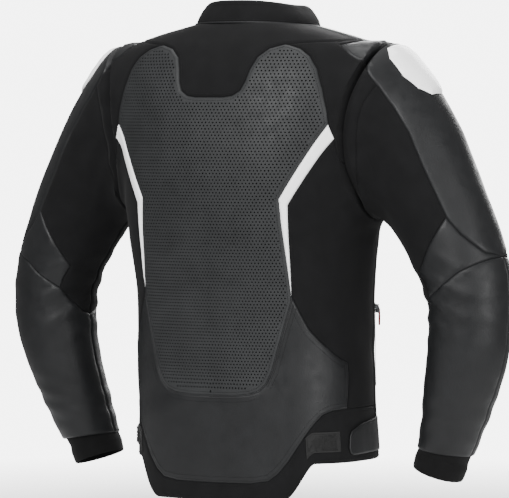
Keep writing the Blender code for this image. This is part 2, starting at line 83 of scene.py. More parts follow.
# centre x, y, z, dip of the arm below the horizontal in degrees, half height, half depth
SLEEVE_SECTIONS = (
    (0.135, 0.000, 0.515, 8, 0.054, 0.048),
    (0.172, 0.000, 0.520, 14, 0.092, 0.074),
    (0.198, 0.000, 0.521, 20, 0.106, 0.081),
    (0.236, 0.000, 0.487, 40, 0.090, 0.076),
    (0.272, 0.000, 0.435, 57, 0.075, 0.070),
    (0.309, 0.000, 0.368, 67, 0.067, 0.065),
    (0.337, 0.000, 0.292, 84, 0.062, 0.062),
    (0.335, 0.000, 0.215, 97, 0.056, 0.057),
    (0.313, -0.008, 0.135, 105, 0.047, 0.050),
    (0.286, -0.020, 0.064, 109, 0.038, 0.041),
)

# ---- Seam lines on the wearer's left half, as (x, z) seen from behind ----------------------------

YOKE = (
    (0.000, 0.563), (0.022, 0.563), (0.036, 0.565), (0.047, 0.572), (0.053, 0.585), (0.057, 0.602),
    (0.064, 0.619), (0.078, 0.631), (0.098, 0.637), (0.140, 0.641),
)
BACK_PANEL = (
    (0.000, 0.147), (0.035, 0.1475), (0.060, 0.150), (0.074, 0.155), (0.084, 0.165), (0.092, 0.182),
    (0.1187, 0.280), (0.1187, 0.300), (0.116, 0.421), (0.168, 0.524), (0.166, 0.545), (0.160, 0.575),
    (0.151, 0.602), (0.138, 0.620), (0.122, 0.631), (0.105, 0.636), (0.098, 0.637), (0.000, 0.650),
)
STRIPE = ((0.1187, 0.287), (0.1105, 0.4216), (0.1677, 0.5246), (0.1726, 0.506), (0.1212, 0.4138))
LOWER_BACK = (
    (0.000, 0.025), (0.060, 0.026), (0.085, 0.030), (0.098, 0.040), (0.112, 0.058), (0.142, 0.110),
    (0.150, 0.122), (0.158, 0.127), (0.166, 0.129), (0.166, 0.193), (0.155, 0.214), (0.138, 0.240),
    (0.1187, 0.287), (0.000, 0.300),
)
UNDERARM = ((0.1726, 0.503), (0.1735, 0.485), (0.177, 0.474), (0.186, 0.466), (0.200, 0.459))
CAP_LINE = ((0.166, 0.637), (0.176, 0.629), (0.186, 0.617), (0.199, 0.601), (0.203, 0.597))
OUTER_LINE = (
    (0.192, 0.610), (0.203, 0.598), (0.216, 0.586), (0.230, 0.574), (0.252, 0.548), (0.275, 0.513),
    (0.297, 0.465), (0.331, 0.397), (0.350, 0.375), (0.378, 0.350),
)
GUSSET_INNER = ((0.330, 0.398), (0.305, 0.357), (0.284, 0.320))
FOREARM_TOP = ((0.388, 0.344), (0.350, 0.324), (0.322, 0.302), (0.301, 0.288))
FOREARM_INNER = ((0.301, 0.288), (0.286, 0.262), (0.276, 0.240))
ARMHOLE_SEAM = (
    (0.228, 0.581), (0.214, 0.555), (0.2065, 0.532), (0.202, 0.500), (0.200, 0.468), (0.192, 0.425),
)
SIDE_FRONT_Y = -0.045
ZIP_GAP = 0.0005
ZIP_TAPE_HALF = 0.0150

GRID = 0.0055  # spacing of the points inside a panel
SEAM_STEP = 0.0032  # spacing of the points along a seam
RINGS = (0.0011, 0.0030)  # rows of points beside a seam
HOLE_PITCH = 0.0051
HOLE_RADIUS = 0.0012
HOLE_MARGIN = 0.0070

STITCH_PITCH = 0.0036
STITCH_LENGTH = 0.0027
STITCH_WIDTH = 0.00044
STITCH_SHAPE = ((-0.5, 0.15), (-0.28, 0.9), (0.28, 0.9), (0.5, 0.15))  # place along, and how far it swells
SHORTEST_EDGE = 0.05  # loops of border shorter than this carry no stitches
REACH = 0.007
TINY = 1e-5
TUCK = 0.97  # the torso runs on under the sleeve: its armhole is smaller by this


# ---- Splines and surfaces ------------------------------------------------------------------------


def dense(rows, steps=60):
    """Catmull-Rom curve through the rows, sampled closely."""
    rows = np.array(rows, float)
    padded = np.vstack([rows[:1], rows, rows[-1:]])
    u = np.linspace(0, 1, steps, endpoint=False)[:, None]
    parts = []
    for a, b, c, d in zip(padded, padded[1:], padded[2:], padded[3:]):
        bend = (2 * a - 5 * b + 4 * c - d) * u**2 + (3 * b - a - 3 * c + d) * u**3
        parts.append(0.5 * (2 * b + (c - a) * u + bend))
    return np.vstack(parts + [rows[-1:]])


def step(x):
    x = np.clip(x, 0.0, 1.0)
    return x * x * (3 - 2 * x)


def unit(v):
    return v / np.maximum(np.linalg.norm(v, axis=-1, keepdims=True), 1e-12)


TORSO = dense(TORSO_SECTIONS)
SLEEVE = dense(SLEEVE_SECTIONS)
SLEEVE_RUN = np.concatenate([[0], np.cumsum(np.linalg.norm(np.diff(SLEEVE[:, :3], axis=0), axis=1))])
SLEEVE_END = SLEEVE_RUN[-1]


def arc_table(depth, power):
    """Angle against distance walked from the side, on a section of the torso."""
    theta = np.linspace(0, math.pi / 2, 4001)
    x = 0.18 * np.cos(theta) ** power
    y = depth * np.sin(theta) ** power
    walked = np.concatenate([[0], np.cumsum(np.hypot(np.diff(x), np.diff(y)))])
    return theta, walked


BACK_ARC = arc_table(0.138, BACK_POWER)
FRONT_ARC = arc_table(0.112, FRONT_POWER)
BACK_END = BACK_ARC[1][-1]
FRONT_END = FRONT_ARC[1][-1]


def theta_of(u):
    back = np.interp(u, BACK_ARC[1], BACK_ARC[0])
    front = -np.interp(-u, FRONT_ARC[1], FRONT_ARC[0])
    return np.where(u > 0, back, front)


def u_of(theta):
    back = np.interp(theta, BACK_ARC[0], BACK_ARC[1])
    front = -np.interp(-theta, FRONT_ARC[0], FRONT_ARC[1])
    return np.where(theta > 0, back, front)


def front_depth(z):
    return FRONT_DEPTH - FRONT_SLOPE * (z - HEM_LEVEL)


def torso_radii(theta, level):
    """Half width, depth, squareness and height shift of the torso's section."""
    share = step((level - 0.56) / (NECK_LEVEL - 0.56))
    s = np.sin(theta)
    back = s > 0
    lean = np.where(back, NECK_RISE * share * s, THROAT_DROP * share * s**3)
    width = np.interp(level, TORSO[:, 0], TORSO[:, 1])
    back_depth = np.interp(level, TORSO[:, 0], TORSO[:, 2])
    depth = np.where(back, back_depth, front_depth(level - THROAT_DROP * share))
    power = np.where(back, BACK_POWER, FRONT_POWER)
    drop = HEM_LEVEL * step((s - 0.62) / 0.26) * (1 - step((level - HEM_LEVEL) / (TAIL_FADE - HEM_LEVEL)))
    return width, depth, power, lean - drop


def torso_point(theta, level):
    width, depth, power, shift = torso_radii(theta, level)
    c, s = np.cos(theta), np.sin(theta)
    x = width * np.sign(c) * np.abs(c) ** power
    y = depth * np.sign(s) * np.abs(s) ** power
    return np.stack([x, y, level + shift - NECK_LEVEL], axis=-1)


def torso_normal(theta, level):
    a = torso_point(np.minimum(theta + 2e-3, math.pi / 2 + 2e-3), level) - torso_point(theta - 2e-3, level)
    b = torso_point(theta, level + 1e-3) - torso_point(theta, level - 1e-3)
    return unit(np.cross(a, b))


def torso_from(point):
    """Angle, level and rough signed distance of points from the torso's surface."""
    x, y, z = np.abs(point[:, 0]), point[:, 1], point[:, 2] + NECK_LEVEL
    level, theta = z.copy(), np.zeros_like(z)
    for _ in range(6):
        width, depth, power, shift = torso_radii(theta, level)
        level = np.clip(z - shift, HEM_LEVEL, NECK_LEVEL)
        width, depth, power, _ = torso_radii(theta, level)
        theta = np.arctan2(np.sign(y) * np.abs(y / depth) ** (1 / power), (x / width) ** (1 / power))
    rho = ((x / width) ** (2 / power) + np.abs(y / depth) ** (2 / power)) ** (power / 2)
    flat = np.linalg.norm(torso_normal(theta, level)[:, :2], axis=1)
    return theta, level, (rho - 1) * np.hypot(x, y) / np.maximum(rho, 1e-6) * flat


def sleeve_rows(run):
    return [np.interp(run, SLEEVE_RUN, SLEEVE[:, k]) for k in range(6)]


def sleeve_frame(run):
    x, y, z, dip, height, depth = sleeve_rows(run)
    dip = np.radians(dip)
    centre = np.stack([x, y, z - NECK_LEVEL], axis=-1)
    along = np.stack([np.cos(dip), 0 * dip, -np.sin(dip)], axis=-1)
    outward = np.stack([np.sin(dip), 0 * dip, np.cos(dip)], axis=-1)
    return centre, along, outward, height, depth


def sleeve_point(phi, run):
    centre, _, outward, height, depth = sleeve_frame(run)
    aft = np.array([0.0, 1.0, 0.0])
    return centre + outward * (height * np.cos(phi))[..., None] + aft * (depth * np.sin(phi))[..., None]


def sleeve_normal(phi, run):
    a = sleeve_point(phi + 2e-3, run) - sleeve_point(phi - 2e-3, run)
    b = sleeve_point(phi, run + 1e-3) - sleeve_point(phi, run - 1e-3)
    return unit(np.cross(b, a))


ARM_ROUND = 0.062  # turns an angle round the arm into a distance
RING_STEPS = 1441
RING_START, RING_END = 0.200, 0.030  # the sleeve leaves the torso between these runs


def armhole_ring():
    """Where the left sleeve meets the torso: angle and run on the sleeve, angle and level on the torso."""
    phi = np.linspace(-math.pi, math.pi, RING_STEPS)
    high = np.full_like(phi, RING_END)
    for run in np.linspace(RING_START, RING_END, 120):
        inside = torso_from(sleeve_point(phi, np.full_like(phi, run)))[2] < 0
        high = np.where(inside & (high <= RING_END), run + 0.0015, high)
    low = high - 0.004
    for _ in range(24):
        middle = (low + high) / 2
        outside = torso_from(sleeve_point(phi, middle))[2] > 0
        high, low = np.where(outside, middle, high), np.where(outside, low, middle)
    theta, level, _ = torso_from(sleeve_point(phi, high))
    return phi, high, theta, level


RING_PHI, RING_RUN, RING_THETA, RING_LEVEL = armhole_ring()
RING_TORSO = torso_normal(RING_THETA, RING_LEVEL)
RING_SLEEVE = sleeve_normal(RING_PHI, RING_RUN)
RING_NORMAL = unit(RING_TORSO + RING_SLEEVE)
LEAST_FILLET = 0.02  # share of FILLET kept where the corner is almost flat
RING_FILLET = FILLET * np.clip(1 - (RING_TORSO * RING_SLEEVE).sum(axis=1), LEAST_FILLET, 1)


def ring_tree():
    """The armhole's points, ready to be searched."""
    tree = KDTree(RING_STEPS)
    for k, place in enumerate(sleeve_point(RING_PHI, RING_RUN)):
        tree.insert(place, k)
    tree.balance()
    return tree


RING_TREE = ring_tree()


def fillet(point, own_normal):
    """Pushes points near the armhole outward, so that sleeve and torso run together softly."""
    found = [RING_TREE.find(p) for p in point]
    distance = np.array([gap for _, _, gap in found])
    nearest = [k for _, k, _ in found]
    radius = RING_FILLET[nearest]
    lift = np.zeros_like(distance)
    for _ in range(8):
        lift = radius / 4 * np.clip(1 - np.abs(lift - distance) / radius, 0, 1) ** 2
    share = np.clip(1 - distance / FILLET, 0, 1)[:, None] ** 2
    normal = unit(own_normal * (1 - share) + RING_NORMAL[nearest] * share)
    return point + normal * lift[:, None], normal


def torso_surface(u, level):
    theta = theta_of(u)
    return fillet(torso_point(theta, level), torso_normal(theta, level))


def sleeve_surface(w, run):
    phi = w / ARM_ROUND
    return fillet(sleeve_point(phi, run), sleeve_normal(phi, run))


# ---- Reading (x, z) outlines on the surfaces -----------------------------------------------------


def on_back(x, z):
    """The torso's (u, level) of a point seen from behind."""
    level, theta = z, math.pi / 4
    for _ in range(30):
        width, _, _, shift = (float(v) for v in torso_radii(np.float64(theta), np.float64(level)))
        level += 0.7 * (z - shift - level)
        theta = math.acos(min(x / width, 1.0) ** (1 / BACK_POWER))
    return float(u_of(np.float64(theta))), level


def on_sleeve(x, z, side=1):
    """The sleeve's (w, run) of a point on its back (side 1) or its front (side -1)."""
    runs = np.linspace(0, SLEEVE_END, 2400)
    centre, along, outward, height, _ = sleeve_frame(runs)
    gap = np.stack([x - centre[:, 0], 0 * runs, z - NECK_LEVEL - centre[:, 2]], axis=-1)
    reach = np.abs((gap * outward).sum(-1)) / height
    k = (np.abs((gap * along).sum(-1)) + np.where(reach > 1.25, 1.0, 0.0)).argmin()
    e = float(np.clip((gap[k] * outward[k]).sum() / height[k], -1, 1))
    return side * math.acos(e) * ARM_ROUND, float(runs[k])


def armhole():
    """The armhole as a line of the sleeve's domain and a loop of the torso's."""
    edge = list(zip(RING_PHI[::8] * ARM_ROUND, RING_RUN[::8]))
    loop = list(zip(u_of(RING_THETA[::8]), RING_LEVEL[::8]))[:-1]
    return edge, loop


# ---- Cutting a domain into panels ----------------------------------------------------------------


def walk(points, spacing, closed=True):
    """The polyline with extra points, none further apart than the spacing."""
    result = []
    ends = list(points[1:]) + ([points[0]] if closed else [])
    for a, b in zip(points, ends):
        count = max(1, int(math.ceil(math.dist(a, b) / spacing)))
        result += [(a[0] + (b[0] - a[0]) * k / count, a[1] + (b[1] - a[1]) * k / count) for k in range(count)]
    return result if closed else result + [points[-1]]


def contains(polygon, points):
    """Which of the points lie inside the polygon."""
    x, y = points[:, 0], points[:, 1]
    inside = np.zeros(len(points), bool)
    for (ax, ay), (bx, by) in zip(polygon, polygon[1:] + polygon[:1]):
        if ay == by:
            continue
        crosses = (ay > y) != (by > y)
        inside ^= crosses & (x < (bx - ax) * (y - ay) / (by - ay) + ax)
    return inside


def nearest_distance(points, lines):
    """Distance of each point from a set of closely spaced line points."""
    tree = KDTree(len(lines))
    for k, (x, y) in enumerate(lines):
        tree.insert((x, y, 0), k)
    tree.balance()
    return np.array([tree.find((x, y, 0))[2] for x, y in points])


def hex_grid(low, high, pitch):
    rows = np.arange(low[1], high[1], pitch * 0.866)
    found = []
    for k, y in enumerate(rows):
        xs = np.arange(low[0] + (pitch / 2 if k % 2 else 0), high[0], pitch)
        found += [(x, y) for x in xs]
    return np.array(found)


class Skin:
    """A surface cut in its flat domain: points, triangles, and the panel that owns each triangle."""

    def __init__(self, outline, panels, surface, holes=(), join=()):
        self.join = [p for line in join for p in line]
        outline = walk(outline, SEAM_STEP)
        loops = [outline] + [walk(p, SEAM_STEP) for _, p in panels]
        seam_points = [p for loop in loops for p in loop]
        points, edges = [], []
        for loop in loops + [list(h) for h in holes]:
            base = len(points)
            points += loop
            edges += [(base + k, base + (k + 1) % len(loop)) for k in range(len(loop))]
        low, high = np.min(outline, axis=0), np.max(outline, axis=0)
        free = hex_grid(low, high, GRID)
        beside = []
        for loop in loops:
            beside += self.rows_beside(loop)
        beside = np.array(beside)
        gap = nearest_distance(beside, seam_points)
        beside = beside[gap > 0.0009]
        free = free[nearest_distance(free, seam_points) > RINGS[-1] + 0.0018]
        if holes:
            centres = [tuple(np.mean(h, axis=0)) for h in holes]
            free = free[nearest_distance(free, centres) > HOLE_PITCH * 1.1]
        extra = np.vstack([free, beside])
        extra = extra[contains(outline, extra)]
        points += [tuple(p) for p in extra]
        made = delaunay_2d_cdt([Vector(p) for p in points], edges, [], 0, 1e-7)
        self.flat = np.array([tuple(v) for v in made[0]])
        faces = np.array([f for f in made[2] if len(f) == 3])
        middle = self.flat[faces].mean(axis=1)
        kept = contains(outline, middle)
        faces, middle = faces[kept], middle[kept]
        self.owner = np.full(len(faces), -1)
        for k, (_, polygon) in enumerate(panels):
            self.owner[(self.owner < 0) & contains(list(polygon), middle)] = k
        self.open = np.zeros(len(faces), bool)
        if holes:
            near = nearest_distance(middle, centres)
            self.open = near < HOLE_RADIUS * 0.9
        self.names = [name for name, _ in panels]
        self.faces = faces
        self.point, self.normal = surface(self.flat[:, 0], self.flat[:, 1])

    @staticmethod
    def rows_beside(loop):
        rows = []
        for before, at, after in zip(loop[-1:] + loop[:-1], loop, loop[1:] + loop[:1]):
            dx, dy = after[0] - before[0], after[1] - before[1]
            length = math.hypot(dx, dy)
            if length < 1e-9:
                continue
            for offset in RINGS:
                for sign in (1, -1):
                    rows.append((at[0] - sign * dy / length * offset, at[1] + sign * dx / length * offset))
        return rows

    def piece(self, *names):
        """The panel that these names own, as a Part."""
        wanted = [self.names.index(name) for name in names]
        chosen = np.isin(self.owner, wanted)
        faces, gone = self.faces[chosen], self.open[chosen]
        used, index = np.unique(faces, return_inverse=True)
        flat = self.flat[used]
        index = index.reshape(-1, 3)
        area = triangle_areas(self.point[used], index).sum()
        unrolled = triangle_areas(np.column_stack([flat, np.zeros(len(flat))]), index).sum()
        width, length = (flat.max(axis=0) - flat.min(axis=0)) * math.sqrt(area / unrolled)
        join = nearest_distance(flat, self.join) < TINY if len(self.join) else np.zeros(len(flat), bool)
        return Part(self.point[used], self.normal[used], index, gone, join, (width, length, area))


def triangle_areas(point, faces):
    a, b, c = (point[faces[:, k]] for k in range(3))
    return np.linalg.norm(np.cross(b - a, c - a), axis=1) / 2


class Part:
    """A piece of skin: points, normals, triangles, which triangles are left open, which points lie where
    sleeve and torso run into each other, and the size of the flat cut."""

    def __init__(self, point, normal, faces, gone, join, cut):
        self.point, self.normal, self.faces = point, normal, faces
        self.gone, self.join, self.cut = gone, join, cut
        self.height = np.zeros(len(point))

    def mirrored(self):
        flip = np.array([-1.0, 1.0, 1.0])
        faces = self.faces[:, ::-1]
        return Part(self.point * flip, self.normal * flip, faces, self.gone, self.join, self.cut)

    def whole(self):
        """The part and its mirror image as one, joined along the middle."""
        other = self.mirrored()
        point = np.vstack([self.point, other.point])
        normal = np.vstack([self.normal, other.normal])
        faces = np.vstack([self.faces, other.faces + len(self.point)])
        _, first, index = np.unique(np.round(point, 5), axis=0, return_index=True, return_inverse=True)
        width, length, area = self.cut
        gone = np.concatenate([self.gone, other.gone])
        join = np.concatenate([self.join, other.join])[first]
        cut = (2 * width, length, 2 * area)
        return Part(point[first], normal[first], index.reshape(-1)[faces], gone, join, cut)

    def shaped(self, rise=0.0, roll=0.0028, sink=0.0017, slack=1.0):
        """Gives the part its share of the folds, and edges that roll down into the seam."""
        rim = border_edges(self.faces)
        gap = border_distance(self.point, rim[~self.join[rim].all(axis=1)])
        edge = np.clip(1 - gap / roll, 0, 1) ** 2
        self.height = folds(self.point) * slack + rise * (1 - edge) - sink * edge
        return self

    def raised(self):
        return self.point + self.normal * self.height[:, None]


def patch(outline, surface):
    """A part cut from a surface along one outline in its flat domain."""
    return Skin(outline, [("patch", outline)], surface).piece("patch")


# ---- From a cut part to a sewn panel ------------------------------------------------------------


def border_edges(faces):
    ends = np.concatenate([faces[:, [0, 1]], faces[:, [1, 2]], faces[:, [2, 0]]])
    ordered = np.sort(ends, axis=1)
    _, index, count = np.unique(ordered, axis=0, return_inverse=True, return_counts=True)
    return ends[count[index.reshape(-1)] == 1]


def border_distance(point, edges):
    """Each point's distance from the panel's own edge."""
    linked = {}
    for a, b in edges:
        linked.setdefault(a, []).append(b)
        linked.setdefault(b, []).append(a)
    corners = sorted(linked)
    tree = KDTree(len(corners))
    for k, corner in enumerate(corners):
        tree.insert(point[corner], k)
    tree.balance()
    result = np.empty(len(point))
    for i, p in enumerate(point):
        _, k, gap = tree.find(p)
        a = point[corners[k]]
        if 0 < gap < 0.012:
            for other in linked[corners[k]]:
                run = point[other] - a
                t = np.clip(((p - a) @ run) / (run @ run), 0, 1)
                gap = min(gap, float(np.linalg.norm(p - a - run * t)))
        result[i] = gap
    return result


def bell(x, middle, width):
    return math.exp(-(((x - middle) / width) ** 2))


def fold_height(x, y, z):
    """Height of the worn creases and slack at a point: one field, so neighbours and layers agree."""
    slow = noise.noise(Vector((x * 11 + 3.1, y * 11, z * 7)))
    middling = noise.noise(Vector((x * 24, y * 24 + 7.7, z * 19)))
    warp = noise.noise(Vector((x * 9, y * 9, z * 9))) * 2.2
    level, out = z + NECK_LEVEL, abs(x)
    arm = min(max((out - 0.19) / 0.05, 0.0), 1.0)
    inner = 1.0 if out < 0.33 else 0.45
    elbow = bell(level, 0.285, 0.060) * arm * inner * max(math.sin(level * 185 + out * 60 + warp * 2.0), -0.3)
    wrist = bell(level, 0.115, 0.040) * arm * math.sin(level * 210 - out * 50 + warp * 1.6)
    armpit = bell(out, 0.200, 0.035) * bell(level, 0.430, 0.060)
    drag = armpit * math.sin((out * 0.8 + level * 0.6) * 190 + warp * 1.5)
    waist = bell(level, 0.200, 0.090) * (1 - arm) * math.sin(level * 62 + warp * 2.5 + x * 9)
    total = slow * 0.0022 + middling * (0.0007 + 0.0008 * arm)
    return total + elbow * 0.0019 + wrist * 0.0008 + drag * 0.0016 + waist * 0.0008


def folds(point):
    return np.array([fold_height(x, y, z) for x, y, z in point])


def panel_mesh(name, part, drop=None):
    """The part's mesh; with a drop, every edge and hole gets a wall that deep instead of a back."""
    place = part.raised()
    shown = part.faces[~part.gone]
    faces = shown.tolist()
    if drop:
        rim = border_edges(shown)
        corners, index = np.unique(rim, return_inverse=True)
        index = index.reshape(-1, 2) + len(place)
        faces += [(b, a, c, d) for (a, b), (c, d) in zip(rim.tolist(), index.tolist())]
        place = np.vstack([place, place[corners] - part.normal[corners] * drop])
    used, index = np.unique(np.concatenate([np.ravel(f) for f in faces]), return_inverse=True)
    renumber = dict(zip(used.tolist(), range(len(used))))
    mesh = bpy.data.meshes.new(name)
    mesh.from_pydata(place[used].tolist(), [], [[renumber[k] for k in f] for f in faces])
    obj = bpy.data.objects.new(name, mesh)
    bpy.context.scene.collection.objects.link(obj)
    return obj


def outward(obj, part):
    """Turns the faces so that they look out, judged by the part's own normals."""
    face = part.faces[~part.gone][0]
    a, b, c = (Vector(part.point[k]) for k in face)
    if (b - a).cross(c - a).dot(Vector(part.normal[face[0]])) < 0:
        obj.data.flip_normals()


def sewn(name, part, finish, wall=0.0016):
    """A panel with a thickness."""
    obj = panel_mesh(name, part)
    outward(obj, part)
    solid = obj.modifiers.new("wall", "SOLIDIFY")
    solid.thickness = wall
    solid.offset = -1
    graph = bpy.context.evaluated_depsgraph_get()
    made = bpy.data.meshes.new_from_object(obj.evaluated_get(graph))
    obj.modifiers.clear()
    obj.data = made
    dress(obj, finish)
    return obj


def pierced(name, part, finish, drop=0.0014):
    """A panel with open holes, walled at every hole and edge."""
    obj = panel_mesh(name, part, drop)
    outward(obj, part)
    dress(obj, finish)
    return obj


def dress(obj, finish):
    obj.data.materials.clear()
    obj.data.materials.append(finish)
    obj.data.shade_smooth()
    obj.data.set_sharp_from_angle(angle=math.radians(50))


# ---- Materials -----------------------------------------------------------------------------------


class Shader:
    """A small helper that builds a node material round one Principled shader."""

    def __init__(self, name, colour, roughness, metallic=0.0):
        self.material = bpy.data.materials.new(name)
        self.material.use_nodes = True
        self.tree = self.material.node_tree
        self.main = self.tree.nodes["Principled BSDF"]
        self.main.inputs["Base Color"].default_value = (*colour, 1)
        self.main.inputs["Roughness"].default_value = roughness
        self.main.inputs["Metallic"].default_value = metallic
        self.colour = colour
        self.place = self.tree.nodes.new("ShaderNodeTexCoord").outputs["Object"]
        self.height = None

    def link(self, source, target):
        self.tree.links.new(source, target)

    def noise(self, scale, detail=3.0, rough=0.55):
        node = self.tree.nodes.new("ShaderNodeTexNoise")
        node.inputs["Scale"].default_value = scale
        node.inputs["Detail"].default_value = detail
        node.inputs["Roughness"].default_value = rough
        self.link(self.place, node.inputs["Vector"])
        return node.outputs["Fac"]

    def cells(self, scale, feature="F1"):
        node = self.tree.nodes.new("ShaderNodeTexVoronoi")
        node.feature = feature
        node.inputs["Scale"].default_value = scale
        self.link(self.place, node.inputs["Vector"])
        return node.outputs["Distance"]

    def math(self, kind, a, b):
        node = self.tree.nodes.new("ShaderNodeMath")
        node.operation = kind
        for socket, value in zip(node.inputs, (a, b)):
            if isinstance(value, (int, float)):
                socket.default_value = value
            else:
                self.link(value, socket)
        return node.outputs[0]

    def threads(self, pitch, share=(1, 1, 0)):
        """A ripple across the axes named by share."""
        mapping = self.tree.nodes.new("ShaderNodeVectorMath")
        mapping.operation = "DOT_PRODUCT"
        mapping.inputs[1].default_value = share
        self.link(self.place, mapping.inputs[0])
        turn = self.math("MULTIPLY", mapping.outputs["Value"], 2 * math.pi / pitch)
        return self.math("SINE", turn, 0.0)

    def ramp(self, source, low, high, start=0.3, end=0.7):
        node = self.tree.nodes.new("ShaderNodeMapRange")
        node.inputs["From Min"].default_value = start
        node.inputs["From Max"].default_value = end
        node.inputs["To Min"].default_value = low
        node.inputs["To Max"].default_value = high
        self.link(source, node.inputs["Value"])
        return node.outputs["Result"]

    def vary_colour(self, source, low, high, start=0.3, end=0.7):
        """Multiplies the base colour by a factor that follows the source."""
        factor = self.ramp(source, low, high, start, end)
        node = self.tree.nodes.new("ShaderNodeVectorMath")
        node.operation = "SCALE"
        node.inputs[0].default_value = self.colour
        self.link(factor, node.inputs["Scale"])
        self.link(node.outputs["Vector"], self.main.inputs["Base Color"])

    def vary_roughness(self, source, low, high):
        self.link(self.ramp(source, low, high), self.main.inputs["Roughness"])

    def bump(self, source, strength, distance):
        node = self.tree.nodes.new("ShaderNodeBump")
        node.inputs["Strength"].default_value = strength
        node.inputs["Distance"].default_value = distance
        self.link(source, node.inputs["Height"])
        if self.height:
            self.link(self.height, node.inputs["Normal"])
        self.height = node.outputs["Normal"]
        self.link(self.height, self.main.inputs["Normal"])


def leather_material(name, colour, roughness=0.46):
    """Full-grain cowhide: pebbled cells, fine pores, soft mottling and slightly polished high spots."""
    shader = Shader(name, colour, roughness)
    grain = shader.cells(720)
    pores = shader.noise(1900, 2)
    mottle = shader.noise(26, 5, 0.6)
    shader.vary_colour(mottle, 0.84, 1.18)
    shader.vary_roughness(shader.noise(70, 4), roughness - 0.07, roughness + 0.10)
    shader.bump(shader.noise(150, 3), 0.25, 0.0005)
    shader.bump(grain, 0.42, 0.00022)
    shader.bump(pores, 0.22, 0.0001)
    shader.main.inputs["Specular IOR Level"].default_value = 0.20
    return shader.material


def weave_material(name, colour, roughness, pitch=0.0011, strength=0.5, sheen=0.02):
    """A tight stretch weave: two sets of threads, with a little lint in the colour."""
    shader = Shader(name, colour, roughness)
    warp = shader.threads(pitch, (1, 1, 0))
    weft = shader.threads(pitch, (0, 0, 1))
    shader.vary_colour(shader.noise(40, 5), 0.82, 1.2)
    shader.bump(shader.noise(210, 3), 0.2, 0.0004)
    shader.bump(shader.math("MULTIPLY", warp, weft), strength, 0.00016)
    shader.main.inputs["Sheen Weight"].default_value = sheen
    shader.main.inputs["Sheen Roughness"].default_value = 0.5
    shader.main.inputs["Specular IOR Level"].default_value = 0.10
    return shader.material


def print_material(name, colour, roughness):
    """A smooth film or moulded plastic with a faint texture and slight soiling."""
    shader = Shader(name, colour, roughness)
    shader.vary_colour(shader.noise(30, 4), 0.955, 1.0)
    shader.vary_roughness(shader.noise(90, 3), roughness - 0.05, roughness + 0.08)
    shader.bump(shader.cells(1500), 0.12, 0.0001)
    return shader.material


def hook_material(name, colour):
    shader = Shader(name, colour, 0.92)
    shader.vary_colour(shader.noise(900, 2), 0.6, 1.6)
    shader.bump(shader.cells(1300), 0.9, 0.0005)
    shader.main.inputs["Sheen Weight"].default_value = 0.02
    return shader.material


def metal_material(name, colour, roughness):
    shader = Shader(name, colour, roughness, 1.0)
    shader.vary_roughness(shader.noise(400, 3), roughness - 0.08, roughness + 0.12)
    shader.bump(shader.noise(900, 2), 0.1, 0.0001)
    return shader.material


def foam_material(name, colour):
    shader = Shader(name, colour, 0.75)
    shader.vary_colour(shader.noise(60, 4), 0.85, 1.1)
    shader.bump(shader.cells(420), 0.5, 0.0006)
    return shader.material


# ---- Stitches, cords and other rows -------------------------------------------------------------


def chains(edges):
    """The border as ordered loops of point numbers."""
    follow = {int(a): int(b) for a, b in edges}
    result = []
    while follow:
        start = next(iter(follow))
        loop = [start]
        at = follow.pop(start)
        while at != start and at in follow:
            loop.append(at)
            at = follow.pop(at)
        result.append(loop)
    return result


def edge_walk(part, inset, pitch):
    """Places at an even pitch along the inside of a panel's edge, each with its direction and normal."""
    point, normal, faces = part.raised(), part.normal, part.faces
    tree = BVHTree.FromPolygons(point.tolist(), faces.tolist())
    for loop in chains(border_edges(faces)):
        ring, normals = point[loop], normal[loop]
        smooth = unit(sum(np.roll(ring, -k, axis=0) - np.roll(ring, k, axis=0) for k in (1, 2, 3)))
        inward = np.cross(normals, smooth)
        run = np.linalg.norm(np.roll(ring, -1, axis=0) - ring, axis=1)
        walked = np.concatenate([[0], np.cumsum(run)])
        if walked[-1] < SHORTEST_EDGE:
            continue
        joined = part.join[loop]
        for at in np.arange(0, walked[-1] - pitch, pitch):
            k = min(int(np.searchsorted(walked, at, side="right")) - 1, len(ring) - 1)
            if joined[k]:
                continue
            share = (at - walked[k]) / max(run[k], 1e-9)
            other = ring[(k + 1) % len(ring)]
            spot = Vector(ring[k] + (other - ring[k]) * share + inward[k] * inset)
            hit = tree.find_nearest(spot)[0]
            if hit is not None and (hit - spot).length < REACH:
                yield hit, Vector(smooth[k]), Vector(normals[k])


def add_stitch(verts, polys, at, along, up):
    """One stitch: a plump four-sided bead that dips into the panel at both ends."""
    along = (along - up * along.dot(up)).normalized()
    side = up.cross(along)
    base = len(verts)
    for place, swell in STITCH_SHAPE:
        middle = at + along * STITCH_LENGTH * place + up * STITCH_WIDTH * (swell - 0.5)
        half = STITCH_WIDTH * (0.35 + 0.25 * swell)
        for a, b in ((1, 0), (0, 1), (-1, 0), (0, -1)):
            verts.append(tuple(middle + side * half * a + up * half * b))
    for row in range(len(STITCH_SHAPE) - 1):
        for k in range(4):
            a, b = base + row * 4 + k, base + row * 4 + (k + 1) % 4
            polys.append((a, b, b + 4, a + 4))
    last = base + 4 * (len(STITCH_SHAPE) - 1)
    polys.append((base + 3, base + 2, base + 1, base))
    polys.append((last, last + 1, last + 2, last + 3))


def stitched(name, part, finish, insets, keep=None):
    """Rows of thread along the inside of a panel's edge."""
    verts, polys = [], []
    for inset in insets:
        for at, along, up in edge_walk(part, inset, STITCH_PITCH):
            if keep is None or keep(at):
                add_stitch(verts, polys, at, along, up)
    return mesh_object(name, verts, polys, finish)


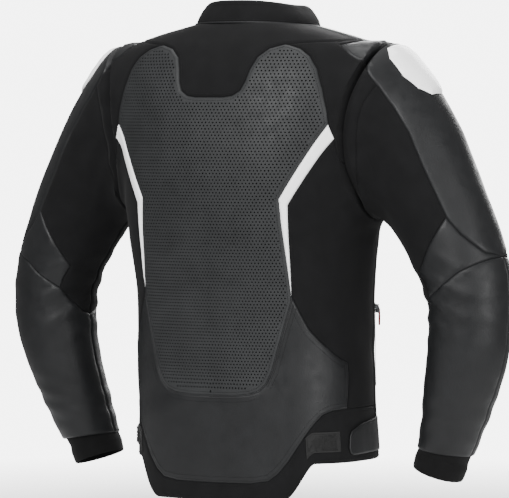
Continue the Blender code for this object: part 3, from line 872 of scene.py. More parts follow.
def cord(name, places, finish, radius, sides=8):
    """A round piping along the places, which are (point, direction, normal)."""
    verts, polys = [], []
    for at, along, up in places:
        side = up.cross(along).normalized()
        for k in range(sides):
            turn = 2 * math.pi * k / sides
            verts.append(tuple(at + (up * math.sin(turn) + side * math.cos(turn)) * radius))
    rows = len(verts) // sides
    for row in range(rows - 1):
        for k in range(sides):
            a, b = row * sides + k, row * sides + (k + 1) % sides
            polys.append((a, b, b + sides, a + sides))
    polys.append(tuple(range(sides))[::-1])
    polys.append(tuple(range((rows - 1) * sides, rows * sides)))
    return mesh_object(name, verts, polys, finish)


def mesh_object(name, verts, polys, finish):
    mesh = bpy.data.meshes.new(name)
    mesh.from_pydata([tuple(v) for v in verts], [], [tuple(p) for p in polys])
    mesh.validate()
    bm = bmesh.new()
    bm.from_mesh(mesh)
    bmesh.ops.recalc_face_normals(bm, faces=bm.faces)
    bm.to_mesh(mesh)
    bm.free()
    obj = bpy.data.objects.new(name, mesh)
    bpy.context.scene.collection.objects.link(obj)
    dress(obj, finish)
    return obj


def grid_object(name, rows, finish, closed_row=True, closed_column=False):
    """A mesh woven through rows of points."""
    count = len(rows[0])
    verts = [p for row in rows for p in row]
    polys = []
    for r in range(len(rows) - (0 if closed_column else 1)):
        for k in range(count - (0 if closed_row else 1)):
            a, b = r * count + k, r * count + (k + 1) % count
            up = count if r < len(rows) - 1 else -r * count
            polys.append((a, b, b + up, a + up))
    if closed_row and not closed_column:
        polys.append(tuple(range(count))[::-1])
        polys.append(tuple(range(len(verts) - count, len(verts))))
    return mesh_object(name, verts, polys, finish)


# ---- Collar and cuffs ----------------------------------------------------------------------------

COLLAR_HEIGHT = 0.031
COLLAR_WALL = 0.0046
COLLAR_LIFT = 0.0006
COLLAR_SIDE_DIP = 0.08
COLLAR_SIDE_LEAN = 0.22
COLLAR_LEAN_POWER = 1.6
COLLAR_BACK_LEAN = 0.16
COLLAR_COLUMNS = 260
ZIP_TEETH_HALF = 0.0032
CUFF_LENGTH = 0.026
CUFF_SHRINK = 0.94


def collar_point(theta, t, lift):
    base = torso_point(np.float64(theta), np.float64(NECK_LEVEL))
    c, s = math.cos(theta), math.sin(theta)
    power = BACK_POWER if s > 0 else FRONT_POWER
    base[0] += lift * math.copysign(abs(c) ** power, c)
    base[1] += lift * math.copysign(abs(s) ** power, s)
    rise = COLLAR_HEIGHT * t * (1 - COLLAR_SIDE_DIP * c * c)
    side = 1 - COLLAR_SIDE_LEAN * max(t, 0) ** COLLAR_LEAN_POWER
    if s > 0:
        return Vector((base[0] * side, base[1] * (1 - COLLAR_BACK_LEAN * t), base[2] + rise))
    low = base[2] + NECK_LEVEL
    y = base[1] * (front_depth(low + rise) + lift) / (front_depth(low) + lift)
    return Vector((base[0] * side, y, base[2] + rise))


def collar_profile():
    """Share of the height and lift of a section: up the outside, over a soft rim, down the inside."""
    outer = [(t, 0.0009 * math.sin(math.pi * t)) for t in np.linspace(-0.10, 0.94, 14)]
    rim = []
    for turn in np.linspace(0.15, 0.85, 7) * math.pi:
        rim.append((0.94 + 0.06 * math.sin(turn), (math.cos(turn) - 1) * COLLAR_WALL / 2))
    inner = [(t, -COLLAR_WALL - 0.0008 * math.sin(math.pi * t)) for t in np.linspace(0.94, -0.10, 14)]
    return outer + rim + inner


def collar_angles():
    start = -math.pi / 2 + ZIP_TEETH_HALF / 0.058
    return np.linspace(start, 1.5 * math.pi - ZIP_TEETH_HALF / 0.058, COLLAR_COLUMNS)


def make_collar(finish):
    rows = []
    for theta in collar_angles():
        row = []
        for t, lift in collar_profile():
            place = collar_point(theta, t, COLLAR_LIFT + lift)
            soft = noise.noise(place * 45) * 0.0005 + noise.noise(place * 130) * 0.0002
            row.append(place + Vector((place.x, place.y, 0)).normalized() * soft)
        rows.append(row)
    return grid_object("collar_band", rows, finish)


def collar_row(t, lift, pitch):
    """Places at an even pitch round the collar's outside."""
    angles = collar_angles()[4:-4]
    spots = [collar_point(a, t, COLLAR_LIFT + lift) for a in angles]
    walked, result = 0.0, []
    for one, other in zip(spots, spots[1:]):
        along = other - one
        while walked < along.length:
            at = one + along.normalized() * walked
            result.append((at, along.normalized(), Vector((at.x, at.y, 0)).normalized()))
            walked += pitch
        walked -= along.length
    return result


def make_cuff(name, side, finish, edge):
    """A close-fitting band: ribbed, tucked under the leather, and turned over a soft rim at its end."""
    centre, along, outward, height, depth = sleeve_frame(np.array([SLEEVE_END]))
    centre, along, outward = Vector(centre[0]), Vector(along[0]), Vector(outward[0])
    aft = Vector((0, 1, 0))
    columns = 150
    outer = [(v, 0.0) for v in np.linspace(0.0, 0.92, 26)]
    bends = np.linspace(0.2, 0.8, 5) * math.pi
    rim = [(0.92 + 0.08 * math.sin(a), (math.cos(a) - 1) * 0.0013) for a in bends]
    inner = [(v, -0.0026) for v in np.linspace(0.92, 0.0, 10)]
    rows = []
    for column in range(columns):
        phi = 2 * math.pi * column / columns
        start = float(np.interp(math.cos(phi), (-1, 1), edge)) - 0.006
        row = []
        for v, lift in outer + rim + inner:
            run = start + (SLEEVE_END + CUFF_LENGTH - start) * v
            past = max(run - SLEEVE_END, 0.0)
            rib = 0.00035 * math.sin(phi * 75) if lift == 0 and 0.1 < v < 0.85 else 0.0
            shrink = 1 - (1 - CUFF_SHRINK) * past / CUFF_LENGTH
            if run < SLEEVE_END:
                at = Vector(sleeve_point(np.array([phi]), np.array([run]))[0])
            else:
                at = centre + (outward * height[0] * math.cos(phi) + aft * depth[0] * math.sin(phi)) * shrink
                at += along * past
            out = (outward * math.cos(phi) + aft * math.sin(phi)).normalized()
            at += out * (lift + rib - 0.0022 * max(0.0, 1 - past / 0.010))
            at.x *= side
            row.append(at)
        rows.append(row)
    return grid_object(name, rows, finish, closed_row=True, closed_column=True)


# ---- Zips ----------------------------------------------------------------------------------------

ZIP_HEAD = 0.655
ZIP_REST = 0.014
TOOTH_PITCH = 0.0032
TOOTH_SIZE = (0.0034, 0.0015, 0.0017)
CLEAR = 0.0010
PATCH = 0.0018


def box_into(verts, polys, place, turn, size, inset=0.25):
    """A block with its outer face drawn in, so that it reads as moulded."""
    base = len(verts)
    x, y, z = (s / 2 for s in size)
    for front, grow in ((1, 1.0), (-0.4, 1.0), (-1, 1.0 - inset)):
        for a, b in ((-1, -1), (1, -1), (1, 1), (-1, 1)):
            verts.append(tuple(place + turn @ Vector((a * x * grow, front * y, b * z * grow))))
    for row in range(2):
        for k in range(4):
            a, b = base + row * 4 + k, base + row * 4 + (k + 1) % 4
            polys.append((a, b, b + 4, a + 4))
    polys.append((base, base + 3, base + 2, base + 1))
    polys.append((base + 8, base + 9, base + 10, base + 11))


def front_point(z):
    return Vector((0.0, -front_depth(z), z - NECK_LEVEL))


def make_front_teeth(finish):
    """Two rows of moulded teeth that mesh along the front edge."""
    foot, head = front_point(HEM_LEVEL + 0.012), front_point(ZIP_HEAD)
    run = (head - foot).normalized()
    turn = Matrix.Rotation(-math.atan(FRONT_SLOPE), 3, "X")
    verts, polys = [], []
    for k in range(int((head - foot).length / TOOTH_PITCH * 2)):
        side = 1 if k % 2 else -1
        at = foot + run * (k * TOOTH_PITCH / 2) + Vector((side * 0.0011, -CLEAR - 0.0008, 0))
        box_into(verts, polys, at, turn, TOOTH_SIZE)
    return mesh_object("front_zip_teeth", verts, polys, finish)


def rounded_solid(name, size, finish, taper=1.0, segments=3, bevel=0.0009):
    """A softly bevelled block, narrower at its top end by the taper, with its waist drawn in."""
    bm = bmesh.new()
    bmesh.ops.create_grid(bm, x_segments=6, y_segments=6, size=0.5)
    made = bmesh.ops.extrude_face_region(bm, geom=list(bm.faces))["geom"]
    bmesh.ops.translate(bm, verts=[v for v in made if isinstance(v, bmesh.types.BMVert)], vec=(0, 0, 1))
    bmesh.ops.recalc_face_normals(bm, faces=bm.faces)
    for v in bm.verts:
        x, z, y = v.co.x, v.co.y, v.co.z - 0.5
        wide = 1 + (taper - 1) * (z + 0.5) - 0.16 * math.cos(z * math.pi) * (1 if taper < 1 else 0)
        v.co = Vector((x * size[0] * wide, -y * size[1], z * size[2]))
    sharp = [e for e in bm.edges if len(e.link_faces) == 2 and e.calc_face_angle() > 0.9]
    bmesh.ops.bevel(bm, geom=sharp, offset=bevel, segments=segments, affect="EDGES", profile=0.5)
    mesh = bpy.data.meshes.new(name)
    bm.to_mesh(mesh)
    bm.free()
    obj = bpy.data.objects.new(name, mesh)
    bpy.context.scene.collection.objects.link(obj)
    dress(obj, finish)
    return obj


def pull_outline(length, width):
    """Half outline of a pull as (x, z): a neck at the top, widening to a rounded foot."""
    return (
        (width * 0.30, 0.0), (width * 0.34, -0.12 * length), (width * 0.42, -0.30 * length),
        (width * 0.50, -0.55 * length), (width * 0.50, -0.86 * length), (width * 0.42, -0.95 * length),
        (width * 0.22, -length),
    )


def make_pull(name, length, finish, width=0.0075, thick=0.0016, hole=0.0016):
    """A flat pull cut along its outline, with a ring-shaped hole and three grip ribs."""
    half = pull_outline(length, width)
    outline = list(half) + [(-x, z) for x, z in reversed(half)]
    middle = -length + 2.2 * hole
    ring = [(hole * math.cos(a), middle + hole * math.sin(a)) for a in np.arange(12) * math.pi / 6]
    outline = walk(outline, 0.0009)
    ends = len(outline)
    points = [Vector(p) for p in outline + ring]
    edges = [(k, (k + 1) % ends) for k in range(ends)]
    edges += [(ends + k, ends + (k + 1) % 12) for k in range(12)]
    grid = hex_grid((-width / 2, -length), (width / 2, 0), 0.0009)
    grid = grid[contains(outline, grid)]
    grid = grid[nearest_distance(grid, outline + ring) > 0.0005]
    grid = grid[np.hypot(grid[:, 0], grid[:, 1] - middle) > hole * 1.2]
    made = delaunay_2d_cdt(points + [Vector(p) for p in grid], edges, [], 0, 1e-8)
    flat = np.array([tuple(v) for v in made[0]])
    faces = [f for f in made[2] if in_pull(flat[list(f)].mean(axis=0), outline, middle, hole)]
    bm = bmesh.new()
    corners = [bm.verts.new((x, 0, z)) for x, z in flat]
    for f in faces:
        bm.faces.new([corners[k] for k in f])
    pushed = bmesh.ops.extrude_face_region(bm, geom=list(bm.faces))["geom"]
    front = [v for v in pushed if isinstance(v, bmesh.types.BMVert)]
    for v in front:
        along = v.co.z / length
        rib = 0.0003 * max(0.0, math.sin((along + 0.1) * 34)) if -0.6 < along < -0.2 else 0
        v.co.y -= thick + rib
    loose = [v for v in bm.verts if not v.link_faces]
    bmesh.ops.delete(bm, geom=loose, context="VERTS")
    bmesh.ops.translate(bm, verts=bm.verts, vec=(0, thick / 2, 0))
    bmesh.ops.recalc_face_normals(bm, faces=bm.faces)
    sharp = [e for e in bm.edges if len(e.link_faces) == 2 and e.calc_face_angle() > 0.9]
    bmesh.ops.bevel(bm, geom=sharp, offset=0.0003, segments=2, affect="EDGES", profile=0.5)
    mesh = bpy.data.meshes.new(name)
    bm.to_mesh(mesh)
    bm.free()
    obj = bpy.data.objects.new(name, mesh)
    bpy.context.scene.collection.objects.link(obj)
    dress(obj, finish)
    return obj


def in_pull(at, outline, middle, hole):
    inside = contains(outline, np.array([at]))[0]
    return bool(inside) and math.hypot(at[0], at[1] - middle) > hole * 0.9


def stand(obj, at, facing, lean):
    """Puts a piece at a point, turned so that its -Y side faces along the heading."""
    turn = Matrix.Rotation(facing, 4, "Z") @ Matrix.Rotation(lean, 4, "X")
    obj.data.transform(Matrix.Translation(at) @ turn)
    return obj


# ---- The skins -----------------------------------------------------------------------------------


def back_line(outline):
    return [on_back(x, z) for x, z in walk(list(outline), 0.006, closed=False)]


def to_centre(line):
    """A line that ends at the middle of the back, with its ends put exactly there."""
    return [(BACK_END if x > BACK_END - 0.0005 else x, y) for x, y in line]


def torso_panels(arm_loop):
    side_u = float(u_of(np.float64(-math.asin((-SIDE_FRONT_Y / 0.122) ** (1 / FRONT_POWER)))))
    zip_u = -FRONT_END + ZIP_TAPE_HALF
    cap = back_line(CAP_LINE)
    ridge = (0.0, cap[0][1] + 0.004)
    front_cap = [(-u * 0.8, level) for u, level in cap]
    underarm = back_line(UNDERARM)
    hem = on_back(0.166, 0.129)[1]
    yoke = to_centre(back_line(YOKE)) + [(0.0, cap[0][1] + 0.009), (0.0, 0.670), (BACK_END + 0.01, 0.670)]
    chest = [(side_u, 0.430), (-FRONT_END + 0.060, 0.395), (zip_u, 0.385)]
    return [
        ("armhole", arm_loop),
        ("cap", [ridge] + cap + [(0.01, 0.50), (-0.01, 0.50)] + front_cap[::-1]),
        ("yoke", yoke),
        ("stripe", back_line(STRIPE + STRIPE[:1])[:-1]),
        ("back_panel", to_centre(back_line(BACK_PANEL))),
        ("lower_back", to_centre(back_line(LOWER_BACK))),
        ("back_shoulder", underarm[::-1] + [(BACK_END, underarm[0][1]), (BACK_END, 0.670), (0.0, 0.670),
                                           (0.0, underarm[-1][1])]),
        ("hem_band", [(side_u, 0.0), (side_u, hem), (BACK_END + 0.01, hem), (BACK_END + 0.01, 0.0)]),
        ("side_panel", [(side_u, hem), (side_u, 0.470), (0.0, 0.470), (0.0, 0.520), (BACK_END, 0.520),
                        (BACK_END, hem)]),
        ("zip_tape", [(-FRONT_END - 0.01, 0.0), (zip_u, 0.0), (zip_u, 0.670), (-FRONT_END - 0.01, 0.670)]),
        ("front_lower", [(zip_u, 0.0)] + chest[::-1] + [(side_u + 0.02, 0.430), (0.01, 0.0)]),
        ("front_chest", chest[::-1] + [(0.02, 0.430), (0.02, 0.670), (zip_u, 0.670)]),
    ]


def perforations(panel, others):
    """Hexagonal holes in staggered rows, well inside the back panel; those on the middle line are halved."""
    low, high = np.min(panel, axis=0), np.max(panel, axis=0)
    centres = hex_grid((BACK_END - 0.30, low[1]), (BACK_END, high[1]), HOLE_PITCH)
    centres[:, 0] += BACK_END - centres[:, 0].max()
    inside = contains(list(panel), centres - (TINY, 0))
    for other in others:
        inside &= ~contains(list(other), centres - (TINY, 0))
    edges = [p for loop in [panel, *others] for p in walk(list(loop), SEAM_STEP)]
    edges = [p for p in edges if p[0] < BACK_END - HOLE_MARGIN / 2]
    centres = centres[inside]
    centres = centres[nearest_distance(centres, edges) > HOLE_MARGIN]
    return [hole_outline(x, y) for x, y in centres]


def hole_outline(x, y):
    halved = x > BACK_END - TINY
    turns = np.radians((90, 150, 210, 270) if halved else (30, 90, 150, 210, 270, 330))
    ring = [(x + HOLE_RADIUS * math.cos(a), y + HOLE_RADIUS * math.sin(a)) for a in turns]
    return [(BACK_END if halved and k in (0, 3) else p, q) for k, (p, q) in enumerate(ring)]


def tucked(loop):
    middle = np.mean(loop, axis=0)
    return [tuple(middle + (np.array(p) - middle) * TUCK) for p in loop]


def make_torso(arm_loop):
    panels = torso_panels(arm_loop)
    outline = [
        (-FRONT_END + ZIP_GAP, HEM_LEVEL), (BACK_END, HEM_LEVEL), (BACK_END, NECK_LEVEL),
        (-FRONT_END + ZIP_GAP, NECK_LEVEL),
    ]
    shapes = dict(panels)
    holes = perforations(shapes["back_panel"], (shapes["yoke"], shapes["stripe"]))
    return Skin(outline, panels, torso_surface, holes, [walk(arm_loop, SEAM_STEP)])


def sleeve_line(outline, side=1):
    return [on_sleeve(x, z, side) for x, z in walk(list(outline), 0.006, closed=False)]


def overlap(line_above, box):
    """The part of the box below an outline's upper run: both reach the same far end."""
    top = [p for p in line_above if p[0] >= 0 and p[1] < box[-1][1] - TINY]
    return top + box[2:]


def make_sleeve(arm_edge):
    round_ = math.pi * ARM_ROUND
    cuff_inner = on_sleeve(0.262, 0.0575)[1]
    cuff_outer = on_sleeve(0.320, 0.0670)[1]
    cuff = [(w, cuff_outer + (cuff_inner - cuff_outer) * (1 - math.cos(w / ARM_ROUND)) / 2)
            for w in np.linspace(-round_, round_, 61)]
    outer = sleeve_line(OUTER_LINE)
    outer_front = [(-w, run) for w, run in outer]
    inner = sleeve_line(GUSSET_INNER)
    top = sleeve_line(FOREARM_TOP)
    top[0] = (0.0, top[0][1])
    crook = sleeve_line(FOREARM_INNER)
    crook = crook + [(round_, crook[-1][1] + 0.012)]
    line = top + crook
    front_line = [(-w, run) for w, run in line]
    far = SLEEVE_END + 0.05
    forearm = front_line[::-1] + line + [(round_ + 0.01, far), (-round_ - 0.01, far)]
    gusset = outer[outer.index(min(outer, key=lambda p: math.dist(p, inner[0]))):] + [(0.0, top[0][1])] + top
    gusset += inner[::-1]
    outer_panel = outer + [(0.0, top[0][1])] + outer_front[::-1] + [(-0.02, 0.0), (0.02, 0.0)]
    textile = [(-round_ - 0.01, 0.0), (round_ + 0.01, 0.0), (round_ + 0.01, far), (-round_ - 0.01, far)]
    seam = sleeve_line(ARMHOLE_SEAM)
    seam = [(-round_ - 0.01, seam[-1][1])] + [(-w, run) for w, run in seam[::-1]] + [(0.0, seam[0][1])] + seam
    shoulder = seam + [(round_ + 0.01, seam[-1][1]), (round_ + 0.01, 0.0), (-round_ - 0.01, 0.0)]
    back_half = [(0.0, 0.2), (round_ + 0.01, 0.2), (round_ + 0.01, far), (0.0, far)]
    panels = [
        ("forearm_back", overlap(forearm, back_half)), ("forearm", forearm), ("gusset", gusset),
        ("outer", outer_panel), ("shoulder", shoulder), ("textile", textile),
    ]
    outline = arm_edge + cuff[::-1]
    start = walk(arm_edge, SEAM_STEP, closed=False)
    return Skin(outline, panels, sleeve_surface, (), [start]), (cuff_inner, cuff_outer)


# ---- The pieces ----------------------------------------------------------------------------------

ELBOW_START = (0.333, 0.0, -0.335)  # two places at the elbow; nothing bends the sleeve between them
ELBOW_END = (0.337, 0.0, -0.395)
SIDES = ((1, "left"), (-1, "right"))
PIPING_TOP = 0.287 - NECK_LEVEL  # the piping ends here on both sides of the perforated panel
STRIP_SHARE = 0.35  # a panel that fills less than this of its box is measured by its diagonal
TAB_OUTLINE = (
    (-0.043, 0.066), (0.036, 0.064), (0.0415, 0.067), (0.0435, 0.074), (0.0405, 0.091), (0.035, 0.098),
    (0.012, 0.106), (-0.043, 0.114),
)
HOOK_OUTLINE = ((0.060, 0.070), (0.116, 0.070), (0.116, 0.098), (0.060, 0.098))
SLIDER_OUTLINE = (
    (-0.020, 0.057), (0.020, 0.057), (0.029, 0.064), (0.031, 0.082), (0.025, 0.097), (0.012, 0.107),
    (-0.012, 0.107), (-0.025, 0.097), (-0.031, 0.082), (-0.029, 0.064),
)
SHOULDER_PAD = (
    (-0.042, 0.052), (0.042, 0.052), (0.052, 0.085), (0.048, 0.125), (0.026, 0.152), (-0.026, 0.152),
    (-0.048, 0.125), (-0.052, 0.085),
)
ELBOW_PAD = (
    (-0.034, 0.316), (0.034, 0.316), (0.050, 0.345), (0.048, 0.420), (0.028, 0.462), (-0.028, 0.462),
    (-0.048, 0.420), (-0.050, 0.345),
)
PROTECTOR = (
    (BACK_END - 0.100, 0.300), (BACK_END - 0.060, 0.215), (BACK_END, 0.200), (BACK_END, 0.560),
    (BACK_END - 0.050, 0.560), (BACK_END - 0.115, 0.505), (BACK_END - 0.092, 0.400),
)
LINING_LIFT = -0.0125
LINING_SLOT_HALF = 0.020  # the lining stays this far from the front zip
PAD_LIFT = -0.0036
PAD_WALL = 0.0075
POCKET_THETA = math.radians(-33)
POCKET_HEAD, POCKET_FOOT = 111, 57  # places in the densely sampled torso sections


def copies(part):
    return ((1, "left", part), (-1, "right", part.mirrored()))


def hand_over(obj, body, slot, nodes=()):
    """Tells the frame what the piece moves with, and the solids that it stands for, which it hides; the slot
    is not used.
    """
    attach(obj, body)
    if nodes:
        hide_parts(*nodes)
    return obj


def bend_with_elbow(obj, side, label, slot, nodes=()):
    start = (side * ELBOW_START[0], *ELBOW_START[1:])
    end = (side * ELBOW_END[0], *ELBOW_END[1:])
    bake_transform(obj)
    if nodes:
        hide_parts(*nodes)
    return obj


def declare_sheet(part):
    """Works out a sewn panel's unrolled width, length and area; a slanted strip's length is its diagonal.

    The sleeves have no lining of their own, so theirs names the torso's lining as a stand-in.
    """
    width, length, area = (float(v) for v in part.cut)
    if area < STRIP_SHARE * width * length:
        length = math.hypot(width, length)


def make_back(torso, looks):
    """The panels that cross the middle of the back."""
    yoke = torso.piece("yoke").whole().shaped(roll=0.0030, sink=0.0018)
    panel = torso.piece("back_panel").whole().shaped(rise=0.0004, roll=0.0040, sink=0.0018, slack=0.8)
    lower = torso.piece("lower_back").whole().shaped(rise=0.0006, roll=0.0028, sink=0.0012)
    band = torso.piece("hem_band").whole().shaped(roll=0.0028)
    made = sewn("neck_yoke_panel", yoke, looks["textile"])
    hand_over(made, "jacket", "stretch_textile", ["neck_yoke"])
    declare_sheet(yoke)
    made = pierced("back_panel_leather", panel, looks["perforated"])
    hand_over(made, "jacket", "perforated_leather", ["back_panel_perforated"])
    declare_sheet(panel)
    made = sewn("lower_back_panel", lower, looks["leather"])
    hand_over(made, "jacket", "black_leather", ["lower_back_leather"])
    declare_sheet(lower)
    made = sewn("hem_band_textile", band, looks["textile"])
    hand_over(made, "jacket", "stretch_textile", ["hem_band"])
    declare_sheet(band)
    backing = torso.piece("back_panel").whole()
    backing.gone[:] = False
    backing.height = folds(backing.point) * 0.8 - 0.0024
    made = sewn("back_panel_backing", backing, looks["backing"], 0.0006)
    hand_over(made, "jacket", "lining")
    declare_sheet(backing)
    rows = (("yoke_stitches", yoke, (0.0045,)), ("back_panel_stitches", panel, (0.0050,)),
            ("lower_back_stitches", lower, (0.0036, 0.0086)), ("hem_stitches", band, (0.0040,)))
    for name, part, insets in rows:
        hand_over(stitched(name, part, looks["thread"], insets), "jacket", "stretch_textile")
    make_piping(panel, looks["leather"])


def make_piping(panel, finish):
    """A bead round the foot of the perforated panel, below the stripes."""
    places = [p for p in edge_walk(panel, -0.0008, 0.0030) if p[0].z < PIPING_TOP]
    start = max(range(len(places)), key=lambda k: (places[k][0] - places[k - 1][0]).length)
    places = places[start:] + places[:start]
    places = [(at + up * 0.0004, along, up) for at, along, up in places]
    hand_over(cord("back_panel_piping", places, finish, 0.0014), "jacket", "black_leather")


def make_torso_pairs(torso, looks):
    """The panels that come in a left and a right."""
    rows = (
        ("stripe", "stripe", "white", "reflective_print", "reflective_stripe_", 0.0010, ()),
        ("back_shoulder", "back_shoulder", "textile", "stretch_textile", "back_shoulder_textile_", 0.0,
         (0.004,)),
        ("side_panel", "side_panel", "textile", "stretch_textile", "side_panel_textile_", 0.0, (0.004,)),
        ("front_lower", "front_lower", "leather", "black_leather", "front_leather_", 0.0004,
         (0.0036, 0.0080)),
        ("front_chest", "front_chest", "leather", "black_leather", "front_leather_", 0.0004,
         (0.0036, 0.0080)),
        ("shoulder_cap", "cap", "leather", "black_leather", "shoulder_leather_", 0.0004, (0.0036,)),
        ("zip_edge", "zip_tape", "tape", "zip_tape", "main_zip_tape_", -0.0004, (0.0100,)),
    )
    for stem, source, look, slot, node, rise, insets in rows:
        for _, label, part in copies(torso.piece(source)):
            part.shaped(rise=rise)
            obj = sewn(stem + "_" + label, part, looks[look])
            hand_over(obj, "jacket", slot, [node + label])
            declare_sheet(part)
            if insets:
                rows_of = stitched(stem + "_stitches_" + label, part, looks["thread"], insets)
                hand_over(rows_of, "jacket", slot)


def make_sleeves(sleeve, looks):
    rows = (
        ("outer_sleeve", "outer", "leather", "black_leather", "shoulder_leather_", 0.0005, (0.0036, 0.0075)),
        ("upper_sleeve", "textile", "textile", "stretch_textile", "upper_sleeve_textile_", 0.0, (0.0040,)),
        ("shoulder_join", "shoulder", "textile", "stretch_textile", "upper_sleeve_textile_", 0.0, ()),
        ("elbow_panel", "gusset", "leather", "black_leather", "elbow_gusset_", 0.0004, (0.0036,)),
        ("forearm_back", "forearm_back", "leather", "black_leather", "forearm_leather_", 0.0005, (0.0036,)),
        ("forearm_front", "forearm", "leather", "black_leather", "forearm_leather_", 0.0005, (0.0036,)),
    )
    for stem, source, look, slot, node, rise, insets in rows:
        for side, label, part in copies(sleeve.piece(source)):
            part.shaped(rise=rise)
            obj = sewn(stem + "_" + label, part, looks[look])
            bend_with_elbow(obj, side, label, slot, [node + label])
            declare_sheet(part)
            if insets:
                rows_of = stitched(stem + "_stitches_" + label, part, looks["thread"], insets)
                bend_with_elbow(rows_of, side, label, slot)


def make_cuffs(edge, looks):
    for side, label in SIDES:
        cuff = make_cuff("cuff_band_" + label, side, looks["knit"], edge)
        hand_over(cuff, "forearm_" + label, "cuff_knit", ["cuff_" + label])


def make_collar_pieces(looks):
    collar = make_collar(looks["textile"])
    hand_over(collar, "jacket", "stretch_textile", ["collar"])
    for name, t, lift in (("collar_seam_stitches", 0.10, 0.0005), ("collar_rim_stitches", 0.84, 0.0008)):
        verts, polys = [], []
        for at, along, up in collar_row(t, lift, STITCH_PITCH):
            add_stitch(verts, polys, at, along, up)
        hand_over(mesh_object(name, verts, polys, looks["thread"]), "jacket", "stretch_textile")
    piping = cord("collar_base_piping", collar_row(-0.02, 0.0012, 0.004), looks["leather"], 0.0013)
    hand_over(piping, "jacket", "black_leather")


def make_lining(arm_loop, looks):
    edge = -FRONT_END + LINING_SLOT_HALF
    outline = [(edge, HEM_LEVEL), (BACK_END, HEM_LEVEL), (BACK_END, NECK_LEVEL), (edge, NECK_LEVEL)]
    part = Skin(outline, [("armhole", arm_loop), ("lining", outline)], torso_surface).piece("lining").whole()
    part.height = folds(part.point) * 0.5 + LINING_LIFT
    obj = sewn("inner_lining", part, looks["lining"], 0.0009)
    hand_over(obj, "jacket", "lining", ["body_lining"])
    declare_sheet(part)


def pad_height(part, lift, edge, grooves):
    """A moulded pad: thinned edges and a honeycomb of shallow grooves."""
    gap = border_distance(part.point, border_edges(part.faces))
    level = np.clip(gap / edge, 0, 1)
    cells = np.cos(part.point[:, 2] * grooves) * np.cos(part.point[:, 1] * grooves)
    part.height = lift + 0.0012 * (level - 1) - 0.0008 * (np.abs(cells) < 0.25)
    return part


def make_armour(looks):
    """Foam pads between the shell and the lining."""
    rows = (
        ("shoulder_pad", SHOULDER_PAD, "shoulder_armour_", "jacket"),
        ("elbow_pad", ELBOW_PAD, "elbow_armour_", "forearm_"),
    )
    for stem, outline, node, body in rows:
        for _, label, part in copies(patch(list(outline), sleeve_surface)):
            pad = sewn(stem + "_" + label, pad_height(part, PAD_LIFT, 0.008, 420), looks["foam"], PAD_WALL)
            rides = body if body == "jacket" else body + label
            hand_over(pad, rides, "armour_foam", [node + label])
    part = pad_height(patch(list(PROTECTOR), torso_surface).whole(), PAD_LIFT, 0.010, 300)
    pad = sewn("back_pad", part, looks["foam"], PAD_WALL)
    hand_over(pad, "jacket", "armour_foam", ["back_protector"])


def make_shoulder_sliders(looks):
    """Hard plates with a bevelled rim and a raised middle."""
    for _, label, part in copies(patch(list(SLIDER_OUTLINE), sleeve_surface)):
        gap = border_distance(part.point, border_edges(part.faces))
        rim = step(gap / 0.0045)
        plateau = step((gap - 0.0095) / 0.0035)
        part.height = folds(part.point) * 0.6 + 0.0012 + 0.0034 * rim + 0.0011 * plateau
        obj = sewn("shoulder_plate_" + label, part, looks["plastic"], 0.0030)
        hand_over(obj, "jacket", "white_plastic", ["shoulder_slider_" + label])


def make_tabs(looks):
    for _, label, part in copies(patch(list(TAB_OUTLINE), torso_surface)):
        part.shaped(rise=0.0034, roll=0.0016, sink=-0.0026)
        obj = sewn("waist_strap_" + label, part, looks["leather"], 0.0018)
        hand_over(obj, "waist_tab_" + label, "black_leather", ["waist_tab_" + label])
        declare_sheet(part)
        rows = stitched("waist_strap_stitches_" + label, part, looks["thread"], (0.0030,))
        hand_over(rows, "waist_tab_" + label, "black_leather")
    for _, label, part in copies(patch(list(HOOK_OUTLINE), torso_surface)):
        part.shaped(rise=0.0016, roll=0.0012, sink=-0.0010)
        obj = sewn("hook_base_" + label, part, looks["hooks"], 0.0010)
        hand_over(obj, "jacket", "hook_tape", ["hook_strip_" + label])
        declare_sheet(part)
        rows = stitched("hook_base_stitches_" + label, part, looks["thread"], (0.0022,))
        hand_over(rows, "jacket", "hook_tape")
        hand_over(make_hooks("hook_pile_" + label, part, looks["hooks"]), "jacket", "hook_tape")


def make_hooks(name, part, finish):
    """A field of little crooked hooks, one on every triangle well inside the strip."""
    verts, polys = [], []
    place = part.raised()
    gap = border_distance(part.point, border_edges(part.faces))
    for face in part.faces:
        if gap[face].min() < 0.0030:
            continue
        a, b, c = (Vector(place[k]) for k in face)
        up = Vector(part.normal[face[0]])
        for share in ((0.6, 0.2, 0.2), (0.2, 0.6, 0.2), (0.2, 0.2, 0.6)):
            at = a * share[0] + b * share[1] + c * share[2]
            add_stitch(verts, polys, at + up * 0.0005, (up + (b - a).normalized() * 0.7), up.orthogonal())
    return mesh_object(name, verts, polys, finish)


def make_front_zip(looks):
    teeth = make_front_teeth(looks["metal"])
    hand_over(teeth, "jacket", "dark_metal", ["main_zip_teeth"])
    lean = -math.atan(FRONT_SLOPE)
    at = front_point(ZIP_HEAD - ZIP_REST) + Vector((0, -CLEAR - 0.0022, 0))
    slider = stand(rounded_solid("front_zip_slider", (0.0090, 0.0040, 0.0120), looks["metal"], 0.8),
                   at + Vector((0, -0.0020, 0)), 0.0, lean)
    hand_over(slider, "main_slider", "dark_metal", ["main_zip_slider"])
    pull = stand(make_pull("front_zip_pull", 0.030, looks["rubber"]), at + Vector((0, -0.0054, 0)), 0.0, lean)
    hand_over(pull, "main_pull", "pull_rubber", ["main_zip_pull"])


def pocket_end(row):
    return Vector(torso_point(np.float64(POCKET_THETA), TORSO[row, 0]))


